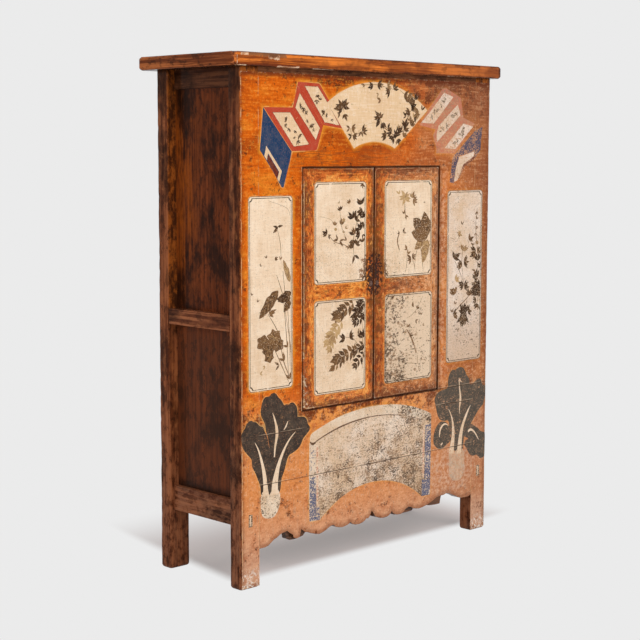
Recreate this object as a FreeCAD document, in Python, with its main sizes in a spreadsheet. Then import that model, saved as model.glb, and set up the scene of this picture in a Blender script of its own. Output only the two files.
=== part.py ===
import FreeCAD, Part
import collections
import math
import os
import re

import Sketcher

# A Chinese wedding cabinet: a tall case on four square legs, with an overhanging mitred top, a scalloped
# apron and a pair of doors that turn outwards on wooden pivots. Lengths are in millimetres. The front
# faces -Y, +X is to its right and +Z is up. The origin is on the floor under the middle of the cabinet.

SIZES = {
    # Case and its four posts
    "case_width": 1160,
    "case_depth": 394,
    "case_height": 1598,
    "post_width": 76,
    "post_depth": 50,
    "post_edge_radius": 4,
    # Play around every tenon, tongue, panel and pin that is let into another piece
    "joint_clearance": 0.15,
    "groove_depth": 9,
    # Top: a mitred frame round two boards
    "top_thickness": 42,
    "top_side_overhang": 38,
    "top_front_overhang": 22,
    "top_rear_overhang": 48,
    "top_frame_width": 105,
    "top_edge_radius": 5,
    "top_corner_radius": 14,
    "top_board_thickness": 20,
    "top_tongue_thickness": 9,
    "top_tenon_width": 12,
    "top_tenon_height": 16,
    "top_tenon_inset": 45,
    "top_tenon_spacing": 38,
    # Rails between the posts, at the same heights on the sides and the back
    "top_rail_height": 60,
    "mid_rail_bottom": 801,
    "mid_rail_height": 49,
    "bottom_rail_bottom": 195,
    "bottom_rail_height": 80,
    "rail_tenon_margin": 13,
    # Sides
    "side_panel_recess": 35,
    "side_panel_thickness": 14,
    "side_top_rail_recess": 31,
    "side_top_rail_thickness": 34,
    "side_mid_rail_thickness": 60,
    "side_bottom_rail_recess": 17,
    "side_bottom_rail_thickness": 48,
    "side_tenon_recess": 11,
    "side_tenon_thickness": 16,
    "side_tenon_depth": 30,
    "through_tenon_recess": 32,
    "through_tenon_height": 40,
    "wedge_thickness": 4,
    "wedge_length": 30,
    # Back
    "rear_rail_recess": 8,
    "rear_rail_thickness": 32,
    "rear_tenon_thickness": 14,
    "rear_tenon_depth": 15,
    "rear_board_recess": 16,
    "rear_board_thickness": 12,
    # Front boards, which lie flush with the faces of the posts
    "front_board_thickness": 30,
    "front_tongue_recess": 10,
    "front_tongue_thickness": 10,
    "opening_width": 640,
    "opening_bottom": 532,
    "frieze_board_height": 301,
    "sill_board_height": 57,
    "lower_board_height": 156,
    "apron_bottom": 122,
    "apron_rise": 38,
    "apron_tongue_bottom": 150,
    # Rails behind the front boards
    "front_rail_thickness": 20,
    "front_rail_tenon_recess": 6,
    "front_rail_tenon_thickness": 8,
    "front_rail_tenon_depth": 12,
    "front_rail_tenon_margin": 8,
    "lintel_rail_height": 70,
    "sill_rail_height": 78,
    "door_stop_height": 16,
    "door_stop_inset": 40,
    "door_stop_gap": 0.3,
    "shelf_rail_height": 40,
    "floor_rail_height": 40,
    # Floor and shelf
    "floor_board_thickness": 14,
    # Doors
    "door_thickness": 22,
    "door_side_gap": 1.5,
    "door_end_gap": 1.5,
    "door_meeting_gap": 2,
    "hinge_stile_width": 46,
    "meeting_stile_width": 34,
    "door_top_rail_height": 44,
    "door_mid_rail_bottom": 875,
    "door_mid_rail_height": 46,
    "door_bottom_rail_height": 40,
    "hinge_edge_radius": 8,
    "pivot_inset": 14,
    "pivot_recess": 10,
    "pivot_radius": 6,
    "pivot_length": 12,
    "pivot_clearance": 0.05,
    "socket_depth": 14,
    "door_panel_thickness": 14,
    "door_tongue_recess": 8,
    "door_tongue_thickness": 6,
    "door_tongue_depth": 6,
    "door_tenon_margin": 12,
    "door_tenon_depth": 16,
    # Iron studs on the meeting stiles
    "stud_inset": 14,
    "stud_height": 918,
    "stud_shank_radius": 2,
    "stud_rose_radius": 8,
    "stud_rose_thickness": 1,
    "stud_head_radius": 5,
    "stud_head_height": 5,
}

# Places that follow from the sizes. Those across the cabinet are distances from its middle plane.
PLACES = {
    "front": "top_front_overhang - (case_depth + top_front_overhang + top_rear_overhang) / 2",
    "rear": "front + case_depth",
    "outer": "case_width / 2",
    "inner": "outer - post_width",
    "front_post_back": "front + post_depth",
    "rear_post_front": "rear - post_depth",
    "top_front": "front - top_front_overhang",
    "top_rear": "rear + top_rear_overhang",
    "top_side": "outer + top_side_overhang",
    "top_surface": "case_height + top_thickness",
    "top_rail_bottom": "case_height - top_rail_height",
    "mid_rail_top": "mid_rail_bottom + mid_rail_height",
    "bottom_rail_top": "bottom_rail_bottom + bottom_rail_height",
    "panel_outside": "outer - side_panel_recess",
    "panel_inside": "panel_outside - side_panel_thickness",
    "front_board_back": "front + front_board_thickness",
    "front_tongue_front": "front + front_tongue_recess",
    "front_tongue_back": "front_tongue_front + front_tongue_thickness",
    "front_rail_back": "front_board_back + front_rail_thickness",
    "opening_side": "opening_width / 2",
    "opening_top": "case_height - frieze_board_height",
    "sill_board_bottom": "opening_bottom - sill_board_height",
    "apron_top": "sill_board_bottom - lower_board_height",
    "rear_rail_back": "rear - rear_rail_recess",
    "rear_rail_front": "rear_rail_back - rear_rail_thickness",
    "rear_board_back": "rear - rear_board_recess",
    "rear_board_front": "rear_board_back - rear_board_thickness",
    "door_outer": "opening_side - door_side_gap",
    "door_inner": "door_meeting_gap / 2",
    "door_bottom": "opening_bottom + door_end_gap",
    "door_top": "opening_top - door_end_gap",
    "door_back": "front + door_thickness",
    "door_mid_rail_top": "door_mid_rail_bottom + door_mid_rail_height",
    "pivot_across": "door_outer - pivot_inset",
    "pivot_depth": "front + pivot_recess",
}

# The scalloped edge of the apron, from the middle to a post: each arc's middle and end, as shares of the
# half length between the posts and of the rise of the edge.
APRON_EDGE_SHARES = (
    ((0.014, 0.62), (0.045, 0.38)),
    ((0.112, 0.06), (0.188, 0.50)),
    ((0.272, 0.08), (0.361, 0.53)),
    ((0.460, 0.07), (0.590, 0.47)),
    ((0.616, 0.60), (0.645, 0.84)),
    ((0.648, 0.60), (0.660, 0.38)),
    ((0.705, 0.10), (0.762, 0.30)),
    ((0.764, 0.58), (0.762, 0.87)),
    ((0.812, 0.80), (0.865, 0.46)),
    ((0.925, 0.12), (1.000, 0.00)),
)

MIRRORED = {"left": -1, "right": 1}

# Two places closer than this are the same place
HAIR = 1e-6

UNTURNED = FreeCAD.Rotation()
# An object's own XY plane stood up to face the front, with its +Z towards -Y
FACING_FRONT = FreeCAD.Rotation(FreeCAD.Vector(1, 0, 0), 90)
# An object's own +Z laid down towards the back
POINTING_BACK = FreeCAD.Rotation(FreeCAD.Vector(1, 0, 0), -90)

doc = FreeCAD.newDocument("WeddingCabinet")
sheet = doc.addObject("Spreadsheet::Sheet", "Sizes")
for row, (alias, number) in enumerate(SIZES.items(), start=1):
    sheet.set(f"A{row}", alias)
    sheet.set(f"B{row}", str(number))
    sheet.setAlias(f"B{row}", alias)
doc.recompute()

pieces = collections.defaultdict(lambda: {"solids": [], "waste": []})


def formula(text):
    """Write a sum of sizes and places in the terms of the sheet's cells."""
    def in_cells(word):
        name = word.group()
        return f"({formula(PLACES[name])})" if name in PLACES else f"Sizes.{name}"
    return re.sub(r"[a-z_]+", in_cells, text)


def value(text):
    """The present value of a sum of sizes and places."""
    return float(sheet.evalExpression(formula(text)))


def grown(span):
    """A span made longer at both ends by the play of a joint."""
    low, high = span
    return f"({low}) - joint_clearance", f"({high}) + joint_clearance"


def across(side, low, high):
    """The span between two distances from the middle plane, on the named side of it."""
    return (low, high) if side == "right" else (f"-({high})", f"-({low})")


def from_middle(place, edge):
    """The span between the middle of the cabinet's depth and an edge at the front or the rear of it."""
    return (edge, "0") if place == "front" else ("0", edge)


def centred(middle, length):
    """A span of the given length about its middle."""
    return f"({middle}) - ({length}) / 2", f"({middle}) + ({length}) / 2"


def box(name, x, y, z):
    """A box between two places on each axis."""
    solid = doc.addObject("Part::Box", name)
    for axis, side, (low, high) in (("x", "Length", x), ("y", "Width", y), ("z", "Height", z)):
        solid.setExpression(side, formula(f"({high}) - ({low})"))
        solid.setExpression(f"Placement.Base.{axis}", formula(low))
    return solid


def put(thing, x, y, z, turn):
    """Turn an object, then bind the place of its origin."""
    thing.Placement = FreeCAD.Placement(FreeCAD.Vector(), turn)
    for axis, place in (("x", x), ("y", y), ("z", z)):
        thing.setExpression(f"Placement.Base.{axis}", formula(place))


def pin(name, place, length, radius, turn):
    """A cylinder from a place along +Z, or the way that +Z is turned."""
    solid = doc.addObject("Part::Cylinder", name)
    solid.setExpression("Radius", formula(radius))
    solid.setExpression("Height", formula(length))
    put(solid, *place, turn)
    return solid


def add_solid(label, solid):
    """Make a solid part of the named piece."""
    pieces[label]["solids"].append(solid)


def add_block(label, x, y, z):
    """Make a box part of the named piece."""
    add_solid(label, box(f"{label}_block", x, y, z))


def house(labels, x, y, z):
    """Cut room for a box, with its play, out of each named piece."""
    for label in labels:
        pieces[label]["waste"].append(box(f"{label}_housing", grown(x), grown(y), grown(z)))


def add_tenon(label, into, x, y, z):
    """Give a piece a tenon or tongue, and each piece that it enters a mortise or groove."""
    add_block(label, x, y, z)
    house(into, x, y, z)


def flat_sketch(body):
    """A sketch on the body's own XY plane."""
    sketch = body.newObject("Sketcher::SketchObject", f"{body.Name}_outline")
    plane = [feature for feature in body.Origin.OriginFeatures if feature.Role == "XY_Plane"][0]
    sketch.AttachmentSupport = (plane, "")
    sketch.MapMode = "FlatFace"
    return sketch


def draw_polygon(sketch, corners):
    """Draw a closed polygon and bind each of its corners to sizes."""
    points = [FreeCAD.Vector(value(x), value(y), 0) for x, y in corners]
    count = len(points)
    for index in range(count):
        sketch.addGeometry(Part.LineSegment(points[index], points[(index + 1) % count]))
    for index, (x, y) in enumerate(corners):
        sketch.addConstraint(Sketcher.Constraint("Coincident", index, 2, (index + 1) % count, 1))
        for direction, place in (("DistanceX", x), ("DistanceY", y)):
            bound = sketch.addConstraint(Sketcher.Constraint(direction, -1, 1, index, 1, value(place)))
            sketch.setExpression(f"Constraints[{bound}]", formula(place))


def padded_body(name, corners, thickness):
    """A body with a polygon in its own XY plane, padded along its own +Z."""
    body = doc.addObject("PartDesign::Body", name)
    sketch = flat_sketch(body)
    draw_polygon(sketch, corners)
    pad = body.newObject("PartDesign::Pad", f"{name}_pad")
    pad.Profile = sketch
    pad.setExpression("Length", formula(thickness))
    doc.recompute()
    return body


def mitred_body(name, length, width, thickness):
    """A frame member with its outer edge along its own +X and both ends mitred."""
    corners = (("0", "0"), (length, "0"), (f"{length} - {width}", width), (width, width))
    return padded_body(name, corners, thickness)


def round_edges(body, radius, chosen):
    """Round the edges of a body whose middles the function accepts, in the body's own frame."""
    base = body.Tip
    names = [f"Edge{index}" for index, edge in enumerate(base.Shape.Edges, start=1)
             if chosen(edge.CenterOfMass)]
    fillet = body.newObject("PartDesign::Fillet", f"{body.Name}_rounding")
    fillet.Base = (base, names)
    fillet.setExpression("Radius", formula(radius))
    doc.recompute()


def make_posts():
    """Four posts from the floor to the top, each with its outer edges eased."""
    for side in MIRRORED:
        for end, low in (("front", "front"), ("rear", "rear_post_front")):
            label = f"post_{end}_{side}"
            corners = (("0", "0"), ("post_width", "0"), ("post_width", "post_depth"), ("0", "post_depth"))
            body = padded_body(f"{label}_body", corners, "case_height")
            outside = 0 if side == "left" else value("post_width")
            round_edges(body, "post_edge_radius",
                        lambda at: abs(at.x - outside) < HAIR and 0 < at.z < value("case_height"))
            put(body, across(side, "inner", "outer")[0], low, "0", UNTURNED)
            add_solid(label, body)


def make_side(side):
    """The rails and panels between the front and rear posts of one side."""
    front_post, rear_post = f"post_front_{side}", f"post_rear_{side}"
    rails = {
        "top": ("side_top_rail_recess", "side_top_rail_thickness", "top_rail_bottom", "case_height"),
        "mid": ("0", "side_mid_rail_thickness", "mid_rail_bottom", "mid_rail_top"),
        "bottom": ("side_bottom_rail_recess", "side_bottom_rail_thickness",
                   "bottom_rail_bottom", "bottom_rail_top"),
    }
    for name, (recess, thickness, low, high) in rails.items():
        outside = f"outer - {recess}"
        add_block(f"side_{name}_rail_{side}", across(side, f"{outside} - {thickness}", outside),
                  ("front_post_back", "rear_post_front"), (low, high))

    for name in ("top", "mid"):
        recess, _, low, high = rails[name]
        outside = f"outer - {recess} - side_tenon_recess"
        tenon = across(side, f"{outside} - side_tenon_thickness", outside)
        heights = (f"{low} + rail_tenon_margin", f"{high} - rail_tenon_margin")
        label = f"side_{name}_rail_{side}"
        add_tenon(label, [front_post], tenon, ("front_post_back - side_tenon_depth", "front_post_back"),
                  heights)
        add_tenon(label, [rear_post], tenon, ("rear_post_front", "rear_post_front + side_tenon_depth"),
                  heights)

    label = f"side_bottom_rail_{side}"
    outside = "outer - through_tenon_recess"
    tenon = across(side, f"{outside} - side_tenon_thickness", outside)
    heights = ("bottom_rail_bottom", "bottom_rail_bottom + through_tenon_height")
    add_tenon(label, [front_post], tenon, ("front", "front_post_back"), heights)
    add_tenon(label, [rear_post], tenon, ("rear_post_front", "rear_post_front + side_tenon_depth"), heights)

    wedge = across(side, *centred(f"{outside} - side_tenon_thickness / 2", "wedge_thickness"))
    wedge_depth = ("front", "front + wedge_length")
    add_block(f"tenon_wedge_{side}", wedge, wedge_depth, heights)
    house([label], wedge, wedge_depth, heights)

    thickness = across(side, "panel_inside", "panel_outside")
    depth = ("front_post_back - groove_depth", "rear_post_front + groove_depth")
    for name, below, above in (("upper", "mid", "top"), ("lower", "bottom", "mid")):
        heights = (f"{below}_rail_top - groove_depth", f"{above}_rail_bottom + groove_depth")
        add_tenon(f"side_panel_{name}_{side}",
                  [front_post, rear_post, f"side_{below}_rail_{side}", f"side_{above}_rail_{side}"],
                  thickness, depth, heights)


def make_back():
    """Three rails and two pairs of boards between the rear posts."""
    depth = ("rear_rail_front", "rear_rail_back")
    for name, top in (("top", "case_height"), ("mid", "mid_rail_top"), ("bottom", "bottom_rail_top")):
        label = f"rear_{name}_rail"
        low = f"{name}_rail_bottom"
        add_block(label, ("-(inner)", "inner"), depth, (low, top))
        tenon_depth = centred("rear_rail_front + rear_rail_thickness / 2", "rear_tenon_thickness")
        heights = (f"{low} + rail_tenon_margin", f"{top} - rail_tenon_margin")
        for side in MIRRORED:
            add_tenon(label, [f"post_rear_{side}"], across(side, "inner", "inner + rear_tenon_depth"),
                      tenon_depth, heights)

    depth = ("rear_board_front", "rear_board_back")
    for name, below, above in (("upper", "mid", "top"), ("lower", "bottom", "mid")):
        heights = (f"{below}_rail_top - groove_depth", f"{above}_rail_bottom + groove_depth")
        for side in MIRRORED:
            add_tenon(f"rear_board_{name}_{side}",
                      [f"post_rear_{side}", f"rear_{below}_rail", f"rear_{above}_rail"],
                      across(side, "0", "inner + groove_depth"), depth, heights)


def apron_body():
    """The apron board without its tongues, with its lower edge cut to lobes and points."""
    body = doc.addObject("PartDesign::Body", "apron_body")
    sketch = flat_sketch(body)
    half, bottom, rise, top = value("inner"), value("apron_bottom"), value("apron_rise"), value("apron_top")

    def point(share, sign):
        return FreeCAD.Vector(sign * share[0] * half, bottom + share[1] * rise, 0)

    for sign in MIRRORED.values():
        begin = FreeCAD.Vector(0, bottom + rise, 0)
        for middle, end in APRON_EDGE_SHARES:
            sketch.addGeometry(Part.Arc(begin, point(middle, sign), point(end, sign)))
            begin = point(end, sign)
        sketch.addGeometry(Part.LineSegment(begin, FreeCAD.Vector(sign * half, top, 0)))
    sketch.addGeometry(Part.LineSegment(FreeCAD.Vector(-half, top, 0), FreeCAD.Vector(half, top, 0)))
    pad = body.newObject("PartDesign::Pad", "apron_pad")
    pad.Profile = sketch
    pad.setExpression("Length", formula("front_board_thickness"))
    put(body, "0", "front_board_back", "0", FACING_FRONT)
    return body


def make_front_boards():
    """The boards of the painted front, tongued into the front posts."""
    thickness = ("front", "front_board_back")
    tongue = ("front_tongue_front", "front_tongue_back")
    heights = {
        "frieze_board": ("opening_top", "case_height"),
        "sill_board": ("sill_board_bottom", "opening_bottom"),
        "lower_board": ("apron_top", "sill_board_bottom"),
    }
    for label, (low, high) in heights.items():
        add_block(label, ("-(inner)", "inner"), thickness, (low, high))
    add_solid("apron_board", apron_body())
    heights["apron_board"] = ("apron_tongue_bottom", "apron_top")
    for side in MIRRORED:
        post = f"post_front_{side}"
        label = f"face_board_{side}"
        span = ("opening_bottom", "opening_top")
        add_block(label, across(side, "opening_side", "inner"), thickness, span)
        add_tenon(label, [post], across(side, "inner", "inner + groove_depth"), tongue, span)
        for board, span in heights.items():
            add_tenon(board, [post], across(side, "inner", "inner + groove_depth"), tongue, span)


def make_front_rails():
    """The rails behind the front boards. Two of them carry the strips that the doors close against."""
    stop_depth = ("door_back + door_stop_gap", "front_board_back")
    stop_end = "opening_side - door_stop_inset"
    rails = {
        "lintel_rail": ("opening_top - door_stop_height",
                        "opening_top - door_stop_height + lintel_rail_height"),
        "sill_rail": ("opening_bottom + door_stop_height - sill_rail_height",
                      "opening_bottom + door_stop_height"),
        "shelf_rail": ("mid_rail_top - shelf_rail_height", "mid_rail_top"),
        "floor_rail": ("bottom_rail_top - floor_rail_height", "bottom_rail_top"),
    }
    for label, (low, high) in rails.items():
        add_block(label, ("-(inner)", "inner"), ("front_board_back", "front_rail_back"), (low, high))
        near = "front_board_back + front_rail_tenon_recess"
        tenon_depth = (near, f"{near} + front_rail_tenon_thickness")
        heights = (f"{low} + front_rail_tenon_margin", f"{high} - front_rail_tenon_margin")
        for side in MIRRORED:
            add_tenon(label, [f"post_front_{side}"],
                      across(side, "inner", "inner + front_rail_tenon_depth"), tenon_depth, heights)
    stops = {
        "lintel_rail": (rails["lintel_rail"][0], "opening_top"),
        "sill_rail": ("opening_bottom", rails["sill_rail"][1]),
    }
    for label, heights in stops.items():
        add_block(label, (f"-({stop_end})", stop_end), stop_depth, heights)


def make_inside_boards():
    """Two floor boards and two shelf boards, notched round the posts."""
    end = "panel_inside - joint_clearance"
    middle = "(front_board_back + rear_board_front) / 2"
    for name, low in (("floor", "bottom_rail_top"), ("shelf", "mid_rail_top")):
        heights = (low, f"{low} + floor_board_thickness")
        spans = {
            "front": ("front_board_back", middle),
            "rear": (middle, "rear_board_front - joint_clearance"),
        }
        for place, depth in spans.items():
            label = f"{name}_board_{place}"
            add_block(label, (f"-({end})", end), depth, heights)
            post_depth = ("front", "front_post_back") if place == "front" else ("rear_post_front", "rear")
            for side in MIRRORED:
                house([label], across(side, "inner", "outer"), post_depth, heights)


def top_outline():
    """The top as one slab with rounded corners and edges, which the members of its frame are cut to."""
    corners = (("-(top_side)", "top_front"), ("top_side", "top_front"),
               ("top_side", "top_rear"), ("-(top_side)", "top_rear"))
    body = padded_body("top_slab", corners, "top_thickness")
    thickness = value("top_thickness")
    round_edges(body, "top_corner_radius", lambda at: 0 < at.z < thickness)
    round_edges(body, "top_edge_radius", lambda at: min(abs(at.z), abs(at.z - thickness)) < HAIR)
    put(body, "0", "0", "case_height", UNTURNED)
    return body


def make_top():
    """The mitred frame of the top, with two boards let into it."""
    slab = top_outline()
    members = {
        "front": ("-(top_side)", "top_front", "2 * top_side"),
        "right": ("top_side", "top_front", "top_rear - top_front"),
        "rear": ("top_side", "top_rear", "2 * top_side"),
        "left": ("-(top_side)", "top_rear", "top_rear - top_front"),
    }
    tenon_heights = centred("case_height + top_thickness / 2", "top_tenon_height")
    for turns, (place, (x, y, length)) in enumerate(members.items()):
        label = f"top_frame_{place}"
        body = mitred_body(f"{label}_body", length, "top_frame_width", "top_thickness")
        put(body, x, y, "case_height", FreeCAD.Rotation(FreeCAD.Vector(0, 0, 1), 90 * turns))
        add_solid(label, body)
    for place, edge, inward in (("front", "top_front", "+"), ("rear", "top_rear", "-")):
        for inset in ("top_tenon_inset", "top_tenon_inset + top_tenon_spacing"):
            depth = centred(f"{edge} {inward} ({inset})", "top_tenon_width")
            for side in MIRRORED:
                add_tenon(f"top_frame_{place}", [f"top_frame_{side}"],
                          across(side, "top_side - top_frame_width", "top_side"), depth, tenon_heights)

    inside = "top_side - top_frame_width"
    low = "top_surface - top_board_thickness"
    for place, edge, inward in (("front", "top_front", "+"), ("rear", "top_rear", "-")):
        label = f"top_board_{place}"
        near = f"{edge} {inward} top_frame_width"
        far = f"{edge} {inward} (top_frame_width - groove_depth)"
        add_block(label, (f"-({inside})", inside), from_middle(place, near), (low, "top_surface"))
        add_tenon(label, [f"top_frame_{name}" for name in (place, *MIRRORED)],
                  (f"-({inside} + groove_depth)", f"{inside} + groove_depth"), from_middle(place, far),
                  (low, f"{low} + top_tongue_thickness"))
    for label in pieces:
        if label.startswith("top_frame"):
            pieces[label]["outline"] = slab


def stud_body(side, x):
    """An iron stud: a shank through the meeting stile, with a thin rose and a domed head in front."""
    body = doc.addObject("PartDesign::Body", f"{side}_stud_body")
    sketch = flat_sketch(body)
    shank, rose, head = value("stud_shank_radius"), value("stud_rose_radius"), value("stud_head_radius")
    back, face, rise = value("door_thickness"), -value("stud_rose_thickness"), value("stud_head_height")
    tip = face - rise
    corners = [FreeCAD.Vector(0, tip, 0), FreeCAD.Vector(0, back, 0), FreeCAD.Vector(shank, back, 0),
               FreeCAD.Vector(shank, 0, 0), FreeCAD.Vector(rose, 0, 0), FreeCAD.Vector(rose, face, 0),
               FreeCAD.Vector(head, face, 0)]
    for begin, end in zip(corners, corners[1:]):
        sketch.addGeometry(Part.LineSegment(begin, end))
    dome_radius = (head ** 2 + rise ** 2) / (2 * rise)
    half_turn = math.atan2(head, dome_radius - rise) / 2
    shoulder = FreeCAD.Vector(dome_radius * math.sin(half_turn),
                              tip + dome_radius * (1 - math.cos(half_turn)), 0)
    sketch.addGeometry(Part.Arc(corners[-1], shoulder, corners[0]))
    turned = body.newObject("PartDesign::Revolution", f"{side}_stud_turning")
    turned.Profile = sketch
    turned.ReferenceAxis = (sketch, ["V_Axis"])
    turned.Angle = 360
    put(body, x, "front", "stud_height", UNTURNED)
    return body


def make_door(side):
    """One door: two stiles, three rails and two flush panels, hung on two wooden pivots."""
    hinge, meeting = f"{side}_hinge_stile", f"{side}_meeting_stile"
    top, middle, bottom = (f"{side}_{name}_rail" for name in ("top", "mid", "bottom"))
    thickness = ("front", "door_back")

    corners = (("0", "0"), ("hinge_stile_width", "0"),
               ("hinge_stile_width", "door_top - door_bottom"), ("0", "door_top - door_bottom"))
    stile = padded_body(f"{hinge}_body", corners, "door_thickness")
    outside = 0 if side == "left" else value("hinge_stile_width")
    face = value("door_thickness")
    round_edges(stile, "hinge_edge_radius",
                lambda at: abs(at.x - outside) < HAIR and abs(at.z - face) < HAIR)
    stile_x = across(side, "door_outer - hinge_stile_width", "door_outer")[0]
    put(stile, stile_x, "door_back", "door_bottom", FACING_FRONT)
    add_solid(hinge, stile)
    add_block(meeting, across(side, "door_inner", "door_inner + meeting_stile_width"), thickness,
              ("door_bottom", "door_top"))

    near, far = "door_inner + meeting_stile_width", "door_outer - hinge_stile_width"
    tongue = ("front + door_tongue_recess", "front + door_tongue_recess + door_tongue_thickness")
    rails = {
        top: ("door_top - door_top_rail_height", "door_top"),
        middle: ("door_mid_rail_bottom", "door_mid_rail_top"),
        bottom: ("door_bottom", "door_bottom + door_bottom_rail_height"),
    }
    for rail, (low, high) in rails.items():
        add_block(rail, across(side, near, far), thickness, (low, high))
        heights = (f"{low} + door_tenon_margin", f"{high} - door_tenon_margin")
        add_tenon(rail, [meeting], across(side, f"{near} - door_tenon_depth", near), tongue, heights)
        add_tenon(rail, [hinge], across(side, far, f"{far} + door_tenon_depth"), tongue, heights)

    for name, below, above in (("lower", bottom, middle), ("upper", middle, top)):
        label = f"{side}_panel_{name}"
        low, high = rails[below][1], rails[above][0]
        add_block(label, across(side, f"{near} + joint_clearance", f"{far} - joint_clearance"),
                  ("front", "front + door_panel_thickness"),
                  (f"{low} + joint_clearance", f"{high} - joint_clearance"))
        add_tenon(label, [hinge, meeting, below, above],
                  across(side, f"{near} - door_tongue_depth", f"{far} + door_tongue_depth"), tongue,
                  (f"{low} - door_tongue_depth", f"{high} + door_tongue_depth"))

    pivot_x = across(side, "pivot_across", "pivot_across")[0]
    pin_feet = {
        "frieze_board": ("door_top", "opening_top"),
        "sill_board": ("door_bottom - pivot_length", "opening_bottom - socket_depth"),
    }
    for board, (foot, socket_foot) in pin_feet.items():
        add_solid(hinge, pin(f"{hinge}_pivot", (pivot_x, "pivot_depth", foot), "pivot_length",
                             "pivot_radius", UNTURNED))
        pieces[board]["waste"].append(
            pin(f"{board}_socket", (pivot_x, "pivot_depth", socket_foot), "socket_depth",
                "pivot_radius + pivot_clearance", UNTURNED))

    stud_x = across(side, "door_inner + stud_inset", "door_inner + stud_inset")[0]
    add_solid(f"{side}_stud", stud_body(side, stud_x))
    pieces[meeting]["waste"].append(
        pin(f"{meeting}_stud_hole", (stud_x, "front", "stud_height"), "door_thickness",
            "stud_shank_radius + joint_clearance", POINTING_BACK))


def united(name, solids):
    """One solid, or several fused into one."""
    if len(solids) == 1:
        return solids[0]
    fused = doc.addObject("Part::MultiFuse", name)
    fused.Shapes = solids
    fused.Refine = True
    return fused


def finished(label):
    """A piece with its tenons on, cut to its outline and with its housings cut, under its own label."""
    solid = united(f"{label}_joined", pieces[label]["solids"])
    if "outline" in pieces[label]:
        rough = solid
        solid = doc.addObject("Part::Common", f"{label}_shaped")
        solid.Base = rough
        solid.Tool = pieces[label]["outline"]
    waste = pieces[label]["waste"]
    if waste:
        whole = solid
        solid = doc.addObject("Part::Cut", f"{label}_cut")
        solid.Base = whole
        solid.Tool = united(f"{label}_waste", waste)
    solid.Label = label
    return solid


make_posts()
for side in MIRRORED:
    make_side(side)
make_back()
make_front_boards()
make_front_rails()
make_inside_boards()
make_top()
for side in MIRRORED:
    make_door(side)

nodes = {label: finished(label) for label in pieces}
doc.recompute()

failed = [thing.Name for thing in doc.Objects if {"Invalid", "Error"} & set(thing.State)]
failed += [label for label, node in nodes.items() if node.Shape.isNull() or not node.Shape.isValid()]
if failed:
    raise RuntimeError(f"these failed: {failed}")

os.makedirs("parts", exist_ok=True)
for label, node in nodes.items():
    node.Shape.exportStep(f"parts/{label}.step")
    print(label, len(node.Shape.Solids), round(node.Shape.Volume))
print(len(nodes), "pieces")
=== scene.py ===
"""Looks of a painted wedding cabinet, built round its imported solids. Metres, front towards -Y, +Z up."""
import math
import random

import bmesh
import bpy
import numpy as np
from bpy.props import FloatProperty, FloatVectorProperty, PointerProperty
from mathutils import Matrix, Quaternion, Vector, noise as rough


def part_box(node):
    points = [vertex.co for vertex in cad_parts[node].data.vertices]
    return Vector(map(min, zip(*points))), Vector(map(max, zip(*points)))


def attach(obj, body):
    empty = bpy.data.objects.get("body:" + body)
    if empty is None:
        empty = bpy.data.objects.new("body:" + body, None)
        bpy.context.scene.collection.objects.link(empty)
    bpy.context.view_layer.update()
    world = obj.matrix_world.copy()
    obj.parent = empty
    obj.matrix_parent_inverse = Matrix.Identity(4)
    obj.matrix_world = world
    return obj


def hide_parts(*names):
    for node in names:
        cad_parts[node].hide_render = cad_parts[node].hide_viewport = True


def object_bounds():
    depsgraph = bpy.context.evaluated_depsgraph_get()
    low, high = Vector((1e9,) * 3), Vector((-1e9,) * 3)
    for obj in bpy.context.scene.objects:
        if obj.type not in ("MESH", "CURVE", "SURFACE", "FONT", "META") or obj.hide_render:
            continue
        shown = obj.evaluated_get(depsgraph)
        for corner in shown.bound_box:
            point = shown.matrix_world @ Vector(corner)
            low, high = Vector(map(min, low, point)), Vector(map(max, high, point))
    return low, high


bl_info = {
    "name": "Painted wedding cabinet",
    "version": (1, 0, 0),
    "blender": (4, 5, 0),
    "location": "3D View > Sidebar > Cabinet",
    "description": "Builds the lacquer, paintings, worn wood and studio of a painted cabinet",
    "category": "Object",
}

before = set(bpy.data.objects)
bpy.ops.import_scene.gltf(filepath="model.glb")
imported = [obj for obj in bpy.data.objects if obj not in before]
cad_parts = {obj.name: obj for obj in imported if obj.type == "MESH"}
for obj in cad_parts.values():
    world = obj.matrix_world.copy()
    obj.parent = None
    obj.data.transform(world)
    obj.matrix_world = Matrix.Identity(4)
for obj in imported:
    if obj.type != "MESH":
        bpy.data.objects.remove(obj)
CAD_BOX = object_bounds()

MM = 0.001
SIDES = {"left": -1, "right": 1}
# No distance to an edge or a painting counts beyond this, in millimetres.
BEYOND = 60.0
# The inner faces of the posts, across in millimetres.
INSIDE = 504
# How deep the broken face of the apron goes, in millimetres.
BROKEN = 11
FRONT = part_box("frieze_board")[0].y


def tone(red, green, blue):
    """A colour given in screen steps from 0 to 255, as the linear numbers that shaders use."""
    steps = (value / 255 for value in (red, green, blue))
    return tuple(step / 12.92 if step <= 0.04045 else ((step + 0.055) / 1.055) ** 2.4 for step in steps)


def colour(name, description, *screen):
    """A colour that a user can change."""
    return FloatVectorProperty(name=name, description=description, default=tone(*screen), size=3,
                               subtype="COLOR", min=0, max=1)


def length(name, description, millimetres):
    """A length that a user can change."""
    return FloatProperty(name=name, description=description, default=millimetres * MM, min=0,
                         subtype="DISTANCE", unit="LENGTH", precision=5)


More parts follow.
